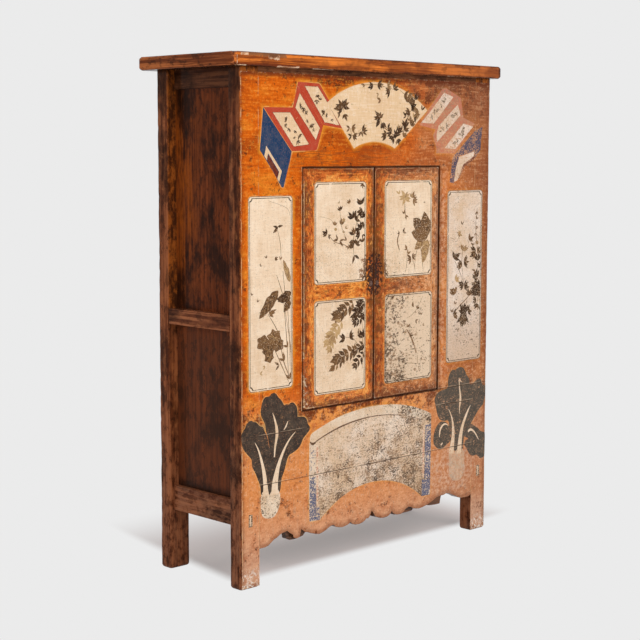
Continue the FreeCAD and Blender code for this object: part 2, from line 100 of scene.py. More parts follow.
class CabinetFinishes(bpy.types.PropertyGroup):
    """Colours of the lacquer, the paints, the woods and the studio."""
    amber: colour("Amber lacquer", "Fresh lacquer, strongest at the upper left", 208, 94, 8)
    faded: colour("Faded lacquer", "Lacquer dulled by handling and light", 172, 100, 56)
    ochre: colour("Worn ochre", "Lacquer rubbed matt on the lower boards", 220, 140, 78)
    deep: colour("Deep lacquer", "Red-brown lacquer in patches and at edges", 100, 42, 16)
    gold: colour("Gold margin", "Thin yellow lacquer round the paintings", 238, 158, 50)
    chalk: colour("Chalk ground", "Pale ground that shows where lacquer is chipped", 230, 202, 170)
    cream: colour("Cream paint", "Fields of the panels and the scroll", 236, 210, 181)
    warm: colour("Warm cream", "Fields of the fan and the album leaves", 226, 192, 152)
    grey: colour("Grey cream", "Fields that have lost their warmth on the right", 237, 220, 208)
    aged: colour("Aged cream", "Darker cream where the fields are soiled", 212, 176, 138)
    red: colour("Red paint", "Borders of the album leaves", 176, 58, 36)
    blue: colour("Blue paint", "Covers of the albums and ends of the scroll", 22, 54, 88)
    leaf: colour("Leaf black", "Cabbage leaves", 58, 48, 42)
    twig: colour("Twig brown", "Specks and soil", 132, 100, 70)
    stain: colour("Dark stain", "Stained softwood of the sides and the top", 66, 32, 17)
    stain_light: colour("Worn stain", "Red-brown wood where the stain is thin", 116, 62, 34)
    bare: colour("Bare wood", "Unstained boards inside the cabinet", 176, 134, 92)
    iron: colour("Iron", "Studs on the meeting stiles", 120, 92, 80)
    floor: colour("Studio floor", "Pale floor and backdrop", 235, 235, 235)


class CabinetSizes(bpy.types.PropertyGroup):
    """Thicknesses and other sizes of the painted front and the worn wood."""
    ground: length("Lacquer thickness", "Cloth and lacquer over the front boards", 0.5)
    paint: length("Paint thickness", "Each layer of paint over the lacquer", 0.08)
    margin: length("Gold margin", "Reach of the yellow margin round a painting", 15)
    cell: length("Ground cell", "Spacing of points across the lacquered ground", 9)
    station: length("Bar station", "Spacing of sections along a worn bar", 12)
    post_edge: length("Post edge", "Rounding of the posts' outer edges", 4)
    top_edge: length("Top edge", "Rounding of the top's edges", 6)
    rail_edge: length("Rail edge", "Rounding of the edges of rails and boards", 1.2)


# Shading.

class Value:
    """What a shader node gives. It takes part in sums like any other number."""

    def __init__(self, mixer, socket):
        self.mixer, self.socket = mixer, socket

    def __add__(self, other):
        return self.mixer.maths("ADD", self, other)

    def __sub__(self, other):
        return self.mixer.maths("SUBTRACT", self, other)

    def __rsub__(self, other):
        return self.mixer.maths("SUBTRACT", other, self)

    def __mul__(self, other):
        return self.mixer.maths("MULTIPLY", self, other)

    def __abs__(self):
        return self.mixer.maths("ABSOLUTE", self)

    __radd__, __rmul__ = __add__, __mul__


class Mixer:
    """Adds shader nodes to a tree. Each input is a number, a colour or the value that another node gives."""

    def __init__(self, tree):
        self.tree = tree

    def put(self, socket, given):
        """Set one input of a node."""
        if isinstance(given, Value):
            self.tree.links.new(given.socket, socket)
        elif socket.type == "RGBA":
            socket.default_value = (*given, 1)
        else:
            socket.default_value = given

    def values(self, node, inputs=()):
        """What a node gives for its inputs, by number and by name."""
        for name, given in dict(inputs).items():
            self.put(node.inputs[name], given)
        made = {number: Value(self, socket) for number, socket in enumerate(node.outputs)}
        return {**made, **{value.socket.name: value for value in made.values()}}

    def new(self, kind, inputs=(), **settings):
        """A new shader node with the given settings and inputs, as its values."""
        node = self.tree.nodes.new("ShaderNode" + kind)
        for name, setting in settings.items():
            setattr(node, name, setting)
        return self.values(node, inputs)

    def maths(self, operation, *numbers):
        return self.new("Math", enumerate(numbers), operation=operation)[0]

    def place(self):
        """The point being shaded, in metres in the cabinet's frame, and then its x, y and z."""
        at = self.new("TexCoord")["Object"]
        parts = self.new("SeparateXYZ", {0: at})
        return at, parts["X"], parts["Y"], parts["Z"]

    def facing(self, axis):
        """How far the surface looks along an axis, from -1 to 1."""
        return self.new("SeparateXYZ", {0: self.new("NewGeometry")["Normal"]})[axis]

    def attribute(self, name):
        return self.new("Attribute", attribute_name=name)["Fac"]

    def group(self, name, **inputs):
        """The values of a group that was built before."""
        node = self.tree.nodes.new("ShaderNodeGroup")
        node.node_tree = bpy.data.node_groups[name]
        return self.values(node, inputs)


def folded(operation, numbers):
    """An operation done over several numbers, one after the other."""
    first, *rest = numbers
    for number in rest:
        mixer = (first if isinstance(first, Value) else number).mixer
        first = mixer.maths(operation, first, number)
    return first


def most(*numbers):
    return folded("MAXIMUM", numbers)


def least(*numbers):
    return folded("MINIMUM", numbers)


def root(number):
    return number.mixer.maths("SQRT", number)


def mix(share, first, second, way="MIX"):
    """A colour between two others, all the first where the share is 0."""
    mixer = next(given.mixer for given in (share, first, second) if isinstance(given, Value))
    return mixer.new("Mix", {0: share, 6: first, 7: second}, data_type="RGBA", blend_type=way)[2]


def ease(number, low, high, scale=1.0):
    """0 at low and scale at high, with a soft start and end. Low may be the larger."""
    return number.mixer.new("MapRange", {0: number, 1: low, 2: high, 3: 0.0, 4: scale},
                            interpolation_type="SMOOTHSTEP")[0]


def vector(operation, first, second):
    return first.mixer.new("VectorMath", {0: first, 1: second}, operation=operation)[0]


def noise(at, size, detail=3.0, roughness=0.55, stretch=(1, 1, 1), bend=0.0):
    """Noise whose features are about the given size, drawn out by stretch."""
    scaled = vector("MULTIPLY", at, [1 / (size * s) for s in stretch])
    return at.mixer.new("TexNoise", {0: scaled, "Scale": 1.0, "Detail": detail, "Roughness": roughness,
                                     "Distortion": bend})[0]


def new_group(name, inputs, outputs):
    """A new node group's mixer, its inputs and a function that sets one of its outputs."""
    tree = bpy.data.node_groups.new(name, "ShaderNodeTree")
    for label, start in inputs.items():
        kind = "NodeSocketColor" if isinstance(start, tuple) else "NodeSocketFloat"
        socket = tree.interface.new_socket(name=label, in_out="INPUT", socket_type=kind)
        socket.default_value = (*start, 1) if isinstance(start, tuple) else start
    for label in outputs:
        kind = "NodeSocketColor" if label == "Colour" else "NodeSocketFloat"
        tree.interface.new_socket(name=label, in_out="OUTPUT", socket_type=kind)
    mixer = Mixer(tree)
    given = mixer.values(tree.nodes.new("NodeGroupInput"))
    result = tree.nodes.new("NodeGroupOutput").inputs
    return mixer, given, lambda label, value: mixer.put(result[label], value)


def finish_material(name, build, specular=0.5, metallic=0.0, bump=0.0005):
    """A material whose colour, roughness and height come from the function build."""
    material = bpy.data.materials.new(name)
    material.use_nodes = True
    material.node_tree.nodes.clear()
    mixer = Mixer(material.node_tree)
    shade = build(mixer)
    surface = {"Base Color": shade["colour"], "Roughness": shade["roughness"], "Metallic": metallic,
               "Specular IOR Level": specular}
    if "height" in shade:
        relief = {"Height": shade["height"], "Distance": bump, "Strength": 1.0}
        surface["Normal"] = mixer.new("Bump", relief)["Normal"]
    mixer.new("OutputMaterial", {"Surface": mixer.new("BsdfPrincipled", surface)[0]})
    return material


# Joints between the front's boards, and the middle and half the height of the doors' opening, in metres.
BOARD_JOINTS = (0.3195, 0.4755, 0.5325)
POST_JOINT = 0.5037
OPENING_SIDE, OPENING_MIDDLE, OPENING_RISE = 0.3195, 0.9146, 0.3819
TOP_FOOT, TOP_FACE = 1.598, 1.640


def build_seam_group():
    """Joints between the front's boards: a dark crack with a pale worn edge over it."""
    mixer, _, result = new_group("Board joints", {}, ("Crack", "Pale"))
    at, x, _, z = mixer.place()
    sway = noise(at, 0.06, 3, 0.6) * 0.004 - 0.002
    broken = noise(at, 0.03, 4, 0.65, (3, 1, 1))
    aside = abs(x)
    boards = ease(aside, 0.506, 0.502)
    beside = boards * ease(aside, 0.29, 0.34)
    near, rim = 1.0, 0.0
    for height, seen in zip(BOARD_JOINTS, (boards, beside, ease(x, 0.05, 0.32))):
        away = z + sway - height
        over = abs(away - 0.0022)
        rim = most(rim, ease(over, 0.0015, 0.0005) * seen)
        away = abs(away) + (1.0 - seen)
        near = least(near, away)
    result("Crack", ease(near, 0.0019, 0.0007) * ease(broken, 0.32, 0.46))
    result("Pale", rim * ease(broken, 0.62, 0.46))


def build_lacquer_group(tints):
    """Orange lacquer over cloth: amber at the upper left, duller to the right and matt ochre low down."""
    inputs = {"Edge": 1.0, "Motif": 1.0, "Frame": 0.0, "Rim": 1.0}
    mixer, given, result = new_group("Lacquer over cloth", inputs, ("Colour", "Roughness", "Height"))
    door, from_edge, from_motif = given["Frame"], given["Edge"], given["Motif"]
    at, x, _, z = mixer.place()
    # Heights of the sill and of the foot of the frieze, and how far out the doors' hinges are, in metres.
    sill_height, frieze_foot, hinge_side = 0.515, 1.325, 0.325
    # Noises from broad to fine. The brushed one runs across the rails and down the stiles.
    clouds = noise(at, 0.17, 4, 0.6)
    drifts = noise(at, 0.09, 4, 0.6, (2.5, 1, 1))
    patches = noise(at, 0.045, 6, 0.7)
    mottle = noise(at, 0.015, 5, 0.72)
    grit = noise(at, 0.0055, 3, 0.7)
    across = noise(at, 0.009, 5, 0.78, (2.6, 1, 1))
    down = noise(at, 0.009, 5, 0.78, (1, 1, 2.6))
    threads = noise(at, 0.0035, 2, 0.5, (1, 1, 14))
    sweeps = noise(at, 0.007, 4, 0.65, (10, 1, 1))
    upper = ease(z, 1.18, 1.3)
    across = (sweeps - across) * upper + across

    # How far the lacquer is dulled towards the right, and rubbed matt towards the foot.
    shift = clouds * 0.8 - 0.4
    right = ease(x + shift, -0.05, 0.5, 0.95)
    right = least(right + door * ease(x, 0.02, 0.15, 0.25), 1.0)
    low = ease(clouds * 0.24 + (z - 0.12), 0.64, 0.38, 0.95)
    aside = abs(x)
    stile = most(ease(aside, 0.265, 0.275), ease(aside, 0.055, 0.045))
    brushed = stile * door * (down - across) + across

    # The lacquer's own colour, from fresh amber to faded brown and pale ochre.
    tint = mix(ease(drifts, 0.47, 0.62, 0.8), tints.amber, tone(164, 68, 8))
    tint = mix(ease(drifts, 0.46, 0.3, 0.45), tint, tints.gold)
    tint = mix(right, tint, mix(ease(drifts, 0.36, 0.6), tone(208, 136, 80), tints.faded))
    dim = right * most(ease(x, 0.44, 0.57, 0.7), ease(z, 1.34, 1.5, 0.9))
    dim = dim * ease(z, 0.56, 0.8)
    tint = mix(dim, tint, tone(138, 78, 50))
    pale_foot = mix(ease(z, 0.32, 0.04), tints.ochre, tone(208, 158, 126))
    rust = mix(ease(patches, 0.5, 0.66, 0.5), pale_foot, tone(186, 104, 56))
    right_foot = mix(ease(z, 0.16, 0.08), tone(190, 128, 90), tone(204, 158, 130))
    tint = mix(low, tint, mix(ease(x, 0.1, 0.5), rust, right_foot))

    # Grime, thickest at edges, round paintings, on the doors' frames and on the sill. Towards the top the
    # darkening is partly grime and partly painted shade under the overhang, and the strip just under the top
    # is painted shade over bare dark wood.
    outer = ease(patches * 0.03 + from_edge, 0.05, 0.018)
    inner = ease(patches * 0.03 + from_motif, 0.044, 0.016)
    lean = outer * 0.04 + (inner * -0.028 + 0.046)
    lean = lean + (drifts * 0.24 - 0.12)
    framed = door * lean
    sill = ease(abs(z - sill_height), 0.05, 0.02) * 0.078
    # Darker towards the top: partly grime, partly painted shade under the top's overhang.
    top_shade_and_grime = ease(z, 1.46, 1.585, 0.09) * ease(x, -0.75, 0.0)
    grime_and_shade = top_shade_and_grime + (framed + sill)
    grimy = mottle * 0.45 + patches * 0.55
    dark = ease(grime_and_shade + grimy, 0.55, 0.6, 0.9)
    tint = mix(dark, tint, mix(right, tone(88, 37, 14), tone(116, 64, 40)))
    # Painted shade over bare dark wood in the strip just under the top.
    shaded_bare_strip = ease(patches * 0.016 + z, 1.574, 1.588, 0.75)
    tint = mix(shaded_bare_strip, tint, tone(90, 40, 18))

    # Brushwork and weave: bright and dark streaks, crisper on the doors.
    tint = mix(door * 0.16, tint, tone(196, 146, 104))
    gilt = ease(grimy + framed, 0.5, 0.44, 0.8) * (sill * 8.0 + door)
    tint = mix(gilt, tint, mix(right, tone(242, 172, 88), tone(220, 166, 124)))
    shade = brushed * 0.4 + (mottle * 0.35 + grit * 0.25)
    contrast = door * 0.2 + (low * -0.06 + 0.44)
    contrast = contrast * (dim * -0.35 + 1.0)
    bright = mix(low, mix(right, tone(244, 156, 58), tone(230, 178, 134)), tone(240, 186, 144))
    tint = mix(ease(shade, 0.505, 0.575) * contrast, tint, bright)
    crisp = ease(brushed, 0.575, 0.61, 0.7) * door
    tint = mix(crisp, tint, mix(right, tone(240, 166, 84), tone(222, 172, 132)))
    crisp = ease(brushed, 0.425, 0.39, 0.75) * door
    tint = mix(crisp, tint, mix(right, tone(84, 34, 12), tone(106, 60, 38)))
    redder = ease(abs(x - 0.024), 0.025, 0.016, 0.26)
    tint = mix(door * redder, tint, tone(112, 44, 22))
    dusky = mix(low, mix(right, tone(134, 54, 10), tone(108, 58, 34)), tone(160, 82, 44))
    tint = mix(ease(shade, 0.495, 0.425) * contrast, tint, dusky)
    # Marks in single places: under the fan, beside the hinges, flecks, haze at the right foot and scratches.
    below = ease(abs(z - frieze_foot), 0.05, 0.02) * (ease(aside, 0.42, 0.3) * ease(x, 0.2, 0.02))
    tint = mix(below * ease(across, 0.46, 0.58, 0.75), tint, tone(132, 58, 18))
    hinge = ease(abs(x - hinge_side), 0.045, 0.01) * ease(abs(z - 0.92), 0.4, 0.32)
    tint = mix(hinge * ease(mottle, 0.44, 0.56, 0.55), tint, tone(222, 170, 132))
    flecks = ease(framed + mottle, 0.585, 0.66, 0.55)
    flecks = flecks * (ease(z, 1.3, 1.4) * ease(x, 0.0, -0.35, -0.6) + 1.0)
    tint = mix(flecks, tint, mix(low, tints.deep, tone(150, 76, 42)))
    haze_x = (x - 0.39) * 6.5
    haze_z = (z - 0.235) * 9.0
    haze = ease(haze_x * haze_x + haze_z * haze_z, 1.1, 0.1)
    haze = haze * ease(mottle, 0.44, 0.6, 0.48)
    tint = mix(haze, tint, tone(224, 192, 168))
    worn_share = most(low * 0.6, right * (dim * -0.7 + 0.8))
    pale = ease(grit * 0.5 + mottle * 0.5, 0.55, 0.62, 0.45) * worn_share
    pale = pale * ease(z, 1.34, 1.2)
    tint = mix(pale, tint, tints.chalk)
    scratched = ease(threads, 0.6, 0.66, 0.4) * (low * patches)
    tint = mix(scratched, tint, tints.chalk)
    tint = mix(ease(threads, 0.45, 0.75, 0.14), tint, tints.deep, "MULTIPLY")

    # The yellow margin round paintings, the line and chips along edges, painted shade in the gaps round the
    # doors, and cracks along the board joints.
    wander = patches * 0.024 - 0.012
    reach = from_motif + wander
    strength = ease(drifts, 0.4, 0.58, 0.55) * (1.0 - most(right, low, door) * 0.8)
    margin = bpy.context.scene.cabinet_sizes.margin
    tint = mix(ease(reach, margin, -0.002) * strength, tint, tints.gold)
    rim = ease(from_motif, 0.0042, 0.0022, 0.4) * (ease(patches, 0.42, 0.56) * (1.0 - right))
    tint = mix(rim, tint, tone(240, 190, 120))
    edge = from_edge + (mottle * 0.012 - 0.006)
    tint = mix(ease(edge, 0.02, 0.003, 0.45), tint, tints.deep)
    fine = from_edge + (mottle * 0.003 - 0.0015)
    line = ease(fine, 0.0056, 0.0046) * ease(fine, 0.0022, 0.0032)
    side = ease(x, -0.25, -0.3) * 0.5 + 0.35
    line = line * (side * ease(patches, 0.42, 0.58, 0.75))
    line = line * (given["Rim"] * ease(z, 1.572, 1.556))
    board = ease(abs(aside - POST_JOINT), 0.0024, 0.0008, 0.35)
    line = most(line, board * ease(patches, 0.44, 0.56))
    tint = mix(line, tint, tone(238, 192, 140))
    corner = ease(z, 0.74, 0.58) * ease(x, -0.262, -0.29, 0.016)
    worn = ease(edge - door * corner, 0.0045, 0.0005)
    chipped = worn * given["Rim"] * ease(mottle, 0.51, 0.6, 0.7)
    tint = mix(chipped, tint, tints.chalk)
    # Painted shade in the gaps round the doors: at the opening's edges, between the meeting stiles and along
    # their foot.
    opening = abs(most(aside - OPENING_SIDE, abs(z - OPENING_MIDDLE) - OPENING_RISE))
    meeting = door * ease(aside, 0.005, 0.0025)
    foot_gap = ease(abs(z - BOARD_JOINTS[2]), 0.0062, 0.0036)
    foot_gap = foot_gap * (ease(aside, 0.324, 0.32) * ease(x, -0.25, 0.25))
    door_gap_shade = ease(opening, 0.0045, 0.0022) * ease(x, 0.34, 0.31)
    door_gap_shade = most(door_gap_shade, foot_gap, meeting)
    tint = mix(door_gap_shade * 0.85, tint, tone(34, 20, 13))
    joints = mixer.group("Board joints")
    tint = mix(joints["Crack"] * 0.45, tint, tone(90, 48, 28))
    tint = mix(joints["Pale"] * 0.36, tint, tints.chalk)

    # Pale drips at the feet.
    foot = noise(at, 0.016, 2, 0.5, (1, 1, 1.5), 1.2)
    drip = ease(abs(foot - 0.5), 0.04, 0.015) * ease(clouds * 0.05 + z, 0.094, 0.06, 0.85)
    tint = mix(drip, tint, tone(234, 222, 208))
    result("Colour", tint)
    result("Roughness", ease(low * 0.4 + patches, 0.3, 1.0, 0.3))
    cloth = threads + (brushed + mottle)
    result("Height", joints["Crack"] * -2.0 + (cloth - line))


def build_cream_group(tints):
    """Cream paint: uneven, soiled in places, with the cloth's threads showing."""
    mixer, given, result = new_group("Cream paint", {"Soil": 0.3, "Paint": tuple(tints.cream)},
                                     ("Colour", "Height"))
    at = mixer.place()[0]
    clouds = noise(at, 0.12, 4, 0.6)
    blots = noise(at, 0.01, 5, 0.72)
    warp = noise(at, 0.005, 3, 0.6, (1, 1, 12))
    weft = noise(at, 0.005, 3, 0.6, (12, 1, 1))
    soil = ease(given["Soil"] * 0.3 + clouds, 0.46, 0.92, 0.8)
    tint = mix(soil, given["Paint"], tints.aged)
    patches = noise(at, 0.034, 5, 0.72)
    tint = mix(ease(patches, 0.53, 0.68, 0.45), tint, tints.aged)
    tint = mix(ease(patches, 0.47, 0.34, 0.28), tint, tone(246, 228, 208))
    weave = warp + weft
    threads = ease(weave, 1.0, 1.3, 0.3)
    tint = mix(threads, tint, tints.aged)
    tint = mix(ease(weave, 1.0, 0.78, 0.22), tint, tone(250, 236, 218))
    specks = ease(given["Soil"] * 0.07 + blots, 0.635, 0.7, 0.65)
    tint = mix(specks, tint, tints.twig)
    result("Colour", tint)
    result("Height", threads + blots)


def build_hand_group():
    """Broken dark marks of hands on the meeting stiles over the studs, in a brown fringe."""
    mixer, _, result = new_group("Hand marks", {}, ("Fringe", "Middle"))
    at, x, _, z = mixer.place()
    aside = abs(x)
    smears = noise(at, 0.011, 4, 0.75) * 1.7 + (noise(at, 0.026, 4, 0.7) * 0.9 - 0.8)
    shifted = abs(x - 0.01)
    parts = []
    for middle, wide, height, high in ((0.014, 0.030, 0.945, 0.085), (0.036, 0.034, 0.958, 0.062),
                                       (0.010, 0.036, 0.950, 0.250)):
        across = ((shifted if high > 0.2 else aside) - middle) * (1 / wide)
        up = (z - height) * (1 / high)
        reach = across * across + up * up
        parts.append(ease(root(reach), 1.15, 0.15))
    core, halo, stile = parts
    wide = most(halo, stile * 0.62)
    result("Fringe", ease(wide * 0.25 + smears, 0.57, 0.66, 0.8) * ease(wide, 0.0, 0.15))
    result("Middle", ease(core * 0.26 + smears, 0.6, 0.69, 0.9) * ease(core, 0.0, 0.15))


def handled(mixer, tint):
    """A colour darkened by the marks of hands."""
    marks = mixer.group("Hand marks")
    tint = mix(marks["Fringe"], tint, tone(118, 68, 26))
    return mix(marks["Middle"], tint, tone(44, 30, 27))


def build_wood_group():
    """Softwood with its grain along the third axis: streaks, blotches, knots and a fine ridged height."""
    mixer, given, result = new_group("Softwood", {"X": 0.0, "Y": 0.0, "Along": 0.0},
                                     ("Streaks", "Patches", "Blotches", "Knots", "Height"))
    own = mixer.new("ObjectInfo")["Random"] * 7.3
    at = mixer.new("CombineXYZ", {0: given["X"] + own, 1: given["Y"], 2: given["Along"] + own})[0]
    cell = mixer.new("TexVoronoi", {0: vector("MULTIPLY", at, (7.5, 7.5, 5.0)), "Scale": 1.0})["Distance"]
    ragged = noise(at, 0.02, 4, 0.7) * 0.14 + (cell - 0.07)
    swirl = ease(cell, 0.5, 0.0, 0.007)
    bent = vector("ADD", at, mixer.new("CombineXYZ", {0: swirl, 1: swirl})[0])
    broad = noise(bent, 0.013, 4, 0.6, (1, 1, 26), 0.1)
    fine = noise(bent, 0.0042, 4, 0.62, (1, 1, 45))
    result("Streaks", fine * 0.45 + broad * 0.55)
    result("Patches", noise(at, 0.12, 5, 0.62, (1, 1, 1.8)))
    result("Blotches", noise(at, 0.026, 6, 0.72, (1, 1, 1.7)))
    result("Knots", ease(ragged, 0.13, 0.03))
    result("Height", fine + broad)


def wood_shade(mixer, order, dark, light, knot, deep=0.5, blotched=0.0, soft=0.0):
    """Colour, roughness and height of a wood whose grain runs along the last axis of the order."""
    _, *axes = mixer.place()
    x, y, along = (axes["XYZ".index(name)] for name in order)
    wood = mixer.group("Softwood", X=x, Y=y, Along=along)
    tint = mix(ease(wood["Streaks"], 0.42 - soft, 0.6 + soft), dark, light)
    tint = mix(ease(wood["Patches"], 0.53, 0.38, deep), tint, knot)
    if blotched:
        tint = mix(ease(wood["Blotches"], 0.49, 0.41, blotched), tint, knot)
        lit = tone(124, 62, 28) if soft else tone(178, 112, 68)
        tint = mix(ease(wood["Blotches"], 0.55, 0.64, blotched * 0.6), tint, lit)
    tint = mix(wood["Knots"] * 0.8, tint, knot)
    return {"colour": tint, "roughness": ease(wood["Patches"], 0.2, 1.2, 0.85), "height": wood["Height"],
            "wood": wood}


def stained(name, order, dark=None, light=None, blotched=0.0, faces_front=0.0, panel=False, ends=None):
    """Dark stained softwood. Away from the panels it has painted shade near the top, under the overhang.
    Faces that look to the front may be warmer, with painted light from the front. A panel has a painted warm
    glow at its rear edge, painted shade in its upper rear corner, and is dirty along its foot."""
    tints = bpy.context.scene.cabinet_finishes

    def build(mixer):
        black, deep, soft = (tone(38, 19, 11), 0.85, 0.10) if panel else (tone(36, 18, 10), 0.65, 0.0)
        shade = wood_shade(mixer, order, dark or tints.stain, light or tints.stain_light, black, deep,
                           blotched, soft)
        tint, wood = shade["colour"], shade["wood"]
        _, _, y, z = mixer.place()
        if panel:
            # Painted light: a warm orange glow along the panel's rear edge, beside the rear post, from about
            # 0.8 m up.
            warm = ease(y, -0.01, 0.09) * ease(z, 0.82, 1.1)
            grained = wood["Patches"] * 0.5 + wood["Streaks"] * 0.5
            warm = warm * ease(grained, 0.45, 0.56, 0.8)
            tint = mix(warm, tint, tone(150, 74, 20))
            tint = mix(ease(z, 0.85, 0.75, 0.35), tint, tone(84, 54, 40))
            # Painted shade in the panel's upper rear corner, under the top and beside the rear post.
            corner = ease(y, 0.03, 0.12) * ease(z, 1.38, 1.54, 0.8)
            tint = mix(corner, tint, tone(30, 15, 8))
            dirt = ease(wood["Blotches"] * 0.04 + z, 0.335, 0.3, 0.7)
            tint = mix(dirt, tint, tone(34, 22, 17))
        else:
            pale = ease(z, 0.62, 0.12) * ease(wood["Blotches"], 0.42, 0.58, 0.45)
            tint = mix(pale, tint, tone(150, 102, 76))
            rims = ease(wood["Streaks"], 0.57, 0.68, 0.5)
            tint = mix(rims, tint, tone(170, 102, 58))
            # Painted shade under the top's overhang, darker from 1.42 m up to the top's underside.
            under = ease(z, 1.42, 1.56, 0.65) * ease(z, 1.599, 1.597)
            tint = mix(under, tint, tone(34, 17, 9))
        if ends:
            worn = mix(ease(wood["Streaks"], 0.42, 0.6), *ends)
            worn = mix(ease(wood["Blotches"], 0.5, 0.42, 0.7), worn, tone(60, 31, 18))
            tint = mix(ease(abs(mixer.facing(0)), 0.4, 0.8), tint, worn)
        # Painted light: faces that look to the front turn warm orange, as if lit from the front, fading out
        # below about 0.8 m.
        if faces_front:
            warm = mix(ease(wood["Streaks"] * 0.5 + wood["Blotches"], 0.66, 0.86), tone(70, 36, 18),
                       tone(158, 84, 30))
            warm = mix(ease(z, 0.88, 0.76, 0.8), warm, tint)
            tint = mix(ease(mixer.facing(1), -0.55, -0.85, faces_front), tint, warm)
        return {**shade, "colour": tint}
    return finish_material(name, build, specular=0.04, bump=0.0006)


def bare(name, order, dark=None, light=None):
    """Wood with no stain on it, browned by age."""
    tints = bpy.context.scene.cabinet_finishes
    dark = dark or tone(122, 84, 52)

    def build(mixer):
        return wood_shade(mixer, order, dark, light or tints.bare, tone(84, 54, 34), 0.4)
    return finish_material(name, build, specular=0.25, bump=0.0004)


def painted(name, tint, wear, over="lacquer", slope=(0, 0), middle=(0, 0), size=0.007, soil=0.3, hands=False,
            flat=False, uneven=0.0, scuffs=0.5, spread=(0.10, (1.6, 1, 1)), fibres=0.14,
            sooty=(0.48, 0.64), foot=None):
    """Paint that has worn through to what lies under it. The wear grows along the slope from the middle,
    its grain has the given size, and where it is uneven it comes and goes over the spread. A flat paint is
    one colour with shifts and fibres in it, and any other is cream with the given tint. Sooty says how dark
    the worn places are, and foot gives two heights and the colour that the paint takes on between them."""
    tints = bpy.context.scene.cabinet_finishes

    def build(mixer):
        at, x, _, z = mixer.place()
        cream = mixer.group("Cream paint", Soil=soil, Paint=tuple(tints.cream if flat else tint))
        paint_tint = cream["Colour"]
        if flat:
            shifts = noise(at, 0.03, 4, 0.65)
            paler = [0.84 * own + 0.16 * chalk for own, chalk in zip(tint, tints.chalk)]
            paint_tint = mix(ease(shifts, 0.35, 0.75, 0.35), tint, paler)
            lines = ease(noise(at, 0.0045, 4, 0.7, (1, 1, 2)), 0.53, 0.68, fibres)
            paint_tint = mix(lines, paint_tint, tone(214, 158, 124))
        if foot:
            paint_tint = mix(ease(z, foot[0], foot[1], 0.75), paint_tint, foot[2])
        if over == "lacquer":
            under = mix(0.25, mixer.group("Lacquer over cloth")["Colour"], tints.chalk)
        elif over == "soot":
            grime = noise(at, 0.03, 4, 0.7)
            under = mix(ease(grime, *sooty), tone(72, 52, 38), tone(158, 124, 94))
        else:
            under = cream["Colour"]
        amount = wear + ((x - middle[0]) * slope[0] + (z - middle[1]) * slope[1])
        if uneven:
            drift = noise(at, spread[0], 4, 0.65, spread[1])
            amount = amount + (drift * (uneven * 2) - uneven)
        amount = least(most(amount, 0.0), 1.0)
        grit = noise(at, size, 5, 0.7, (1.5, 1, 1)) * 0.72 + noise(at, size * 8, 4, 0.6) * 0.28
        worn = ease(amount * 0.3 + grit, 0.664, 0.694, 0.88)
        scuffed = noise(at, size * 0.45, 4, 0.7, (2.2, 1, 1))
        scuffed = ease(amount * 0.22 + scuffed, 0.58, 0.66, scuffs)
        tinted = mix(scuffed, paint_tint, mix(0.6, paint_tint, under))
        tinted = mix(worn, tinted, under)
        joints = mixer.group("Board joints")
        tinted = mix(joints["Pale"] * 0.4, tinted, tints.chalk)
        tinted = mix(joints["Crack"] * 0.9, tinted, tone(64, 42, 30))
        if hands:
            tinted = handled(mixer, tinted)
        return {"colour": tinted, "height": cream["Height"] - worn,
                "roughness": ease(grit, 0.0, 1.0, 0.95)}
    return finish_material(name, build, specular=0.06, bump=0.0003)


def lacquered(name, hands=False, frame_share=0.0, rim=1.0):
    """The lacquered ground, which knows how far it is from a free edge and from a painting."""
    def build(mixer):
        lacquer = mixer.group("Lacquer over cloth", Edge=mixer.attribute("edge"),
                              Motif=mixer.attribute("motif"), Frame=frame_share, Rim=rim)
        tint = handled(mixer, lacquer["Colour"]) if hands else lacquer["Colour"]
        return {"colour": tint, "roughness": lacquer["Roughness"] + 0.34, "height": lacquer["Height"]}
    return finish_material(name, build, specular=0.07, bump=0.0004)


def spot(at, x, z, wide, high, ragged):
    """1 inside a ragged patch on the front with the given middle and size, in millimetres."""
    _, px, _, pz = at
    sway = noise(at[0], 0.008, 4, 0.7) * (2 * ragged) - ragged
    across = abs(px - x * MM) - wide * MM / 2
    up = abs(pz - z * MM) - high * MM / 2
    return ease(most(across, up) + sway, 0.0006, -0.0006)


# Chips on the front edge of the top: across, up, width, height and how ragged each is.
TOP_CHIPS = (
    (-576, 1633, 30, 8, 0.003), (-605, 1614, 2.6, 30, 0.001), (-588, 1600, 40, 2.6, 0.0012),
    (-458, 1628, 44, 15, 0.012), (-400, 1599.5, 90, 5, 0.004), (-250, 1598.5, 90, 2.4, 0.002),
    (410, 1598.4, 150, 1.6, 0.002))


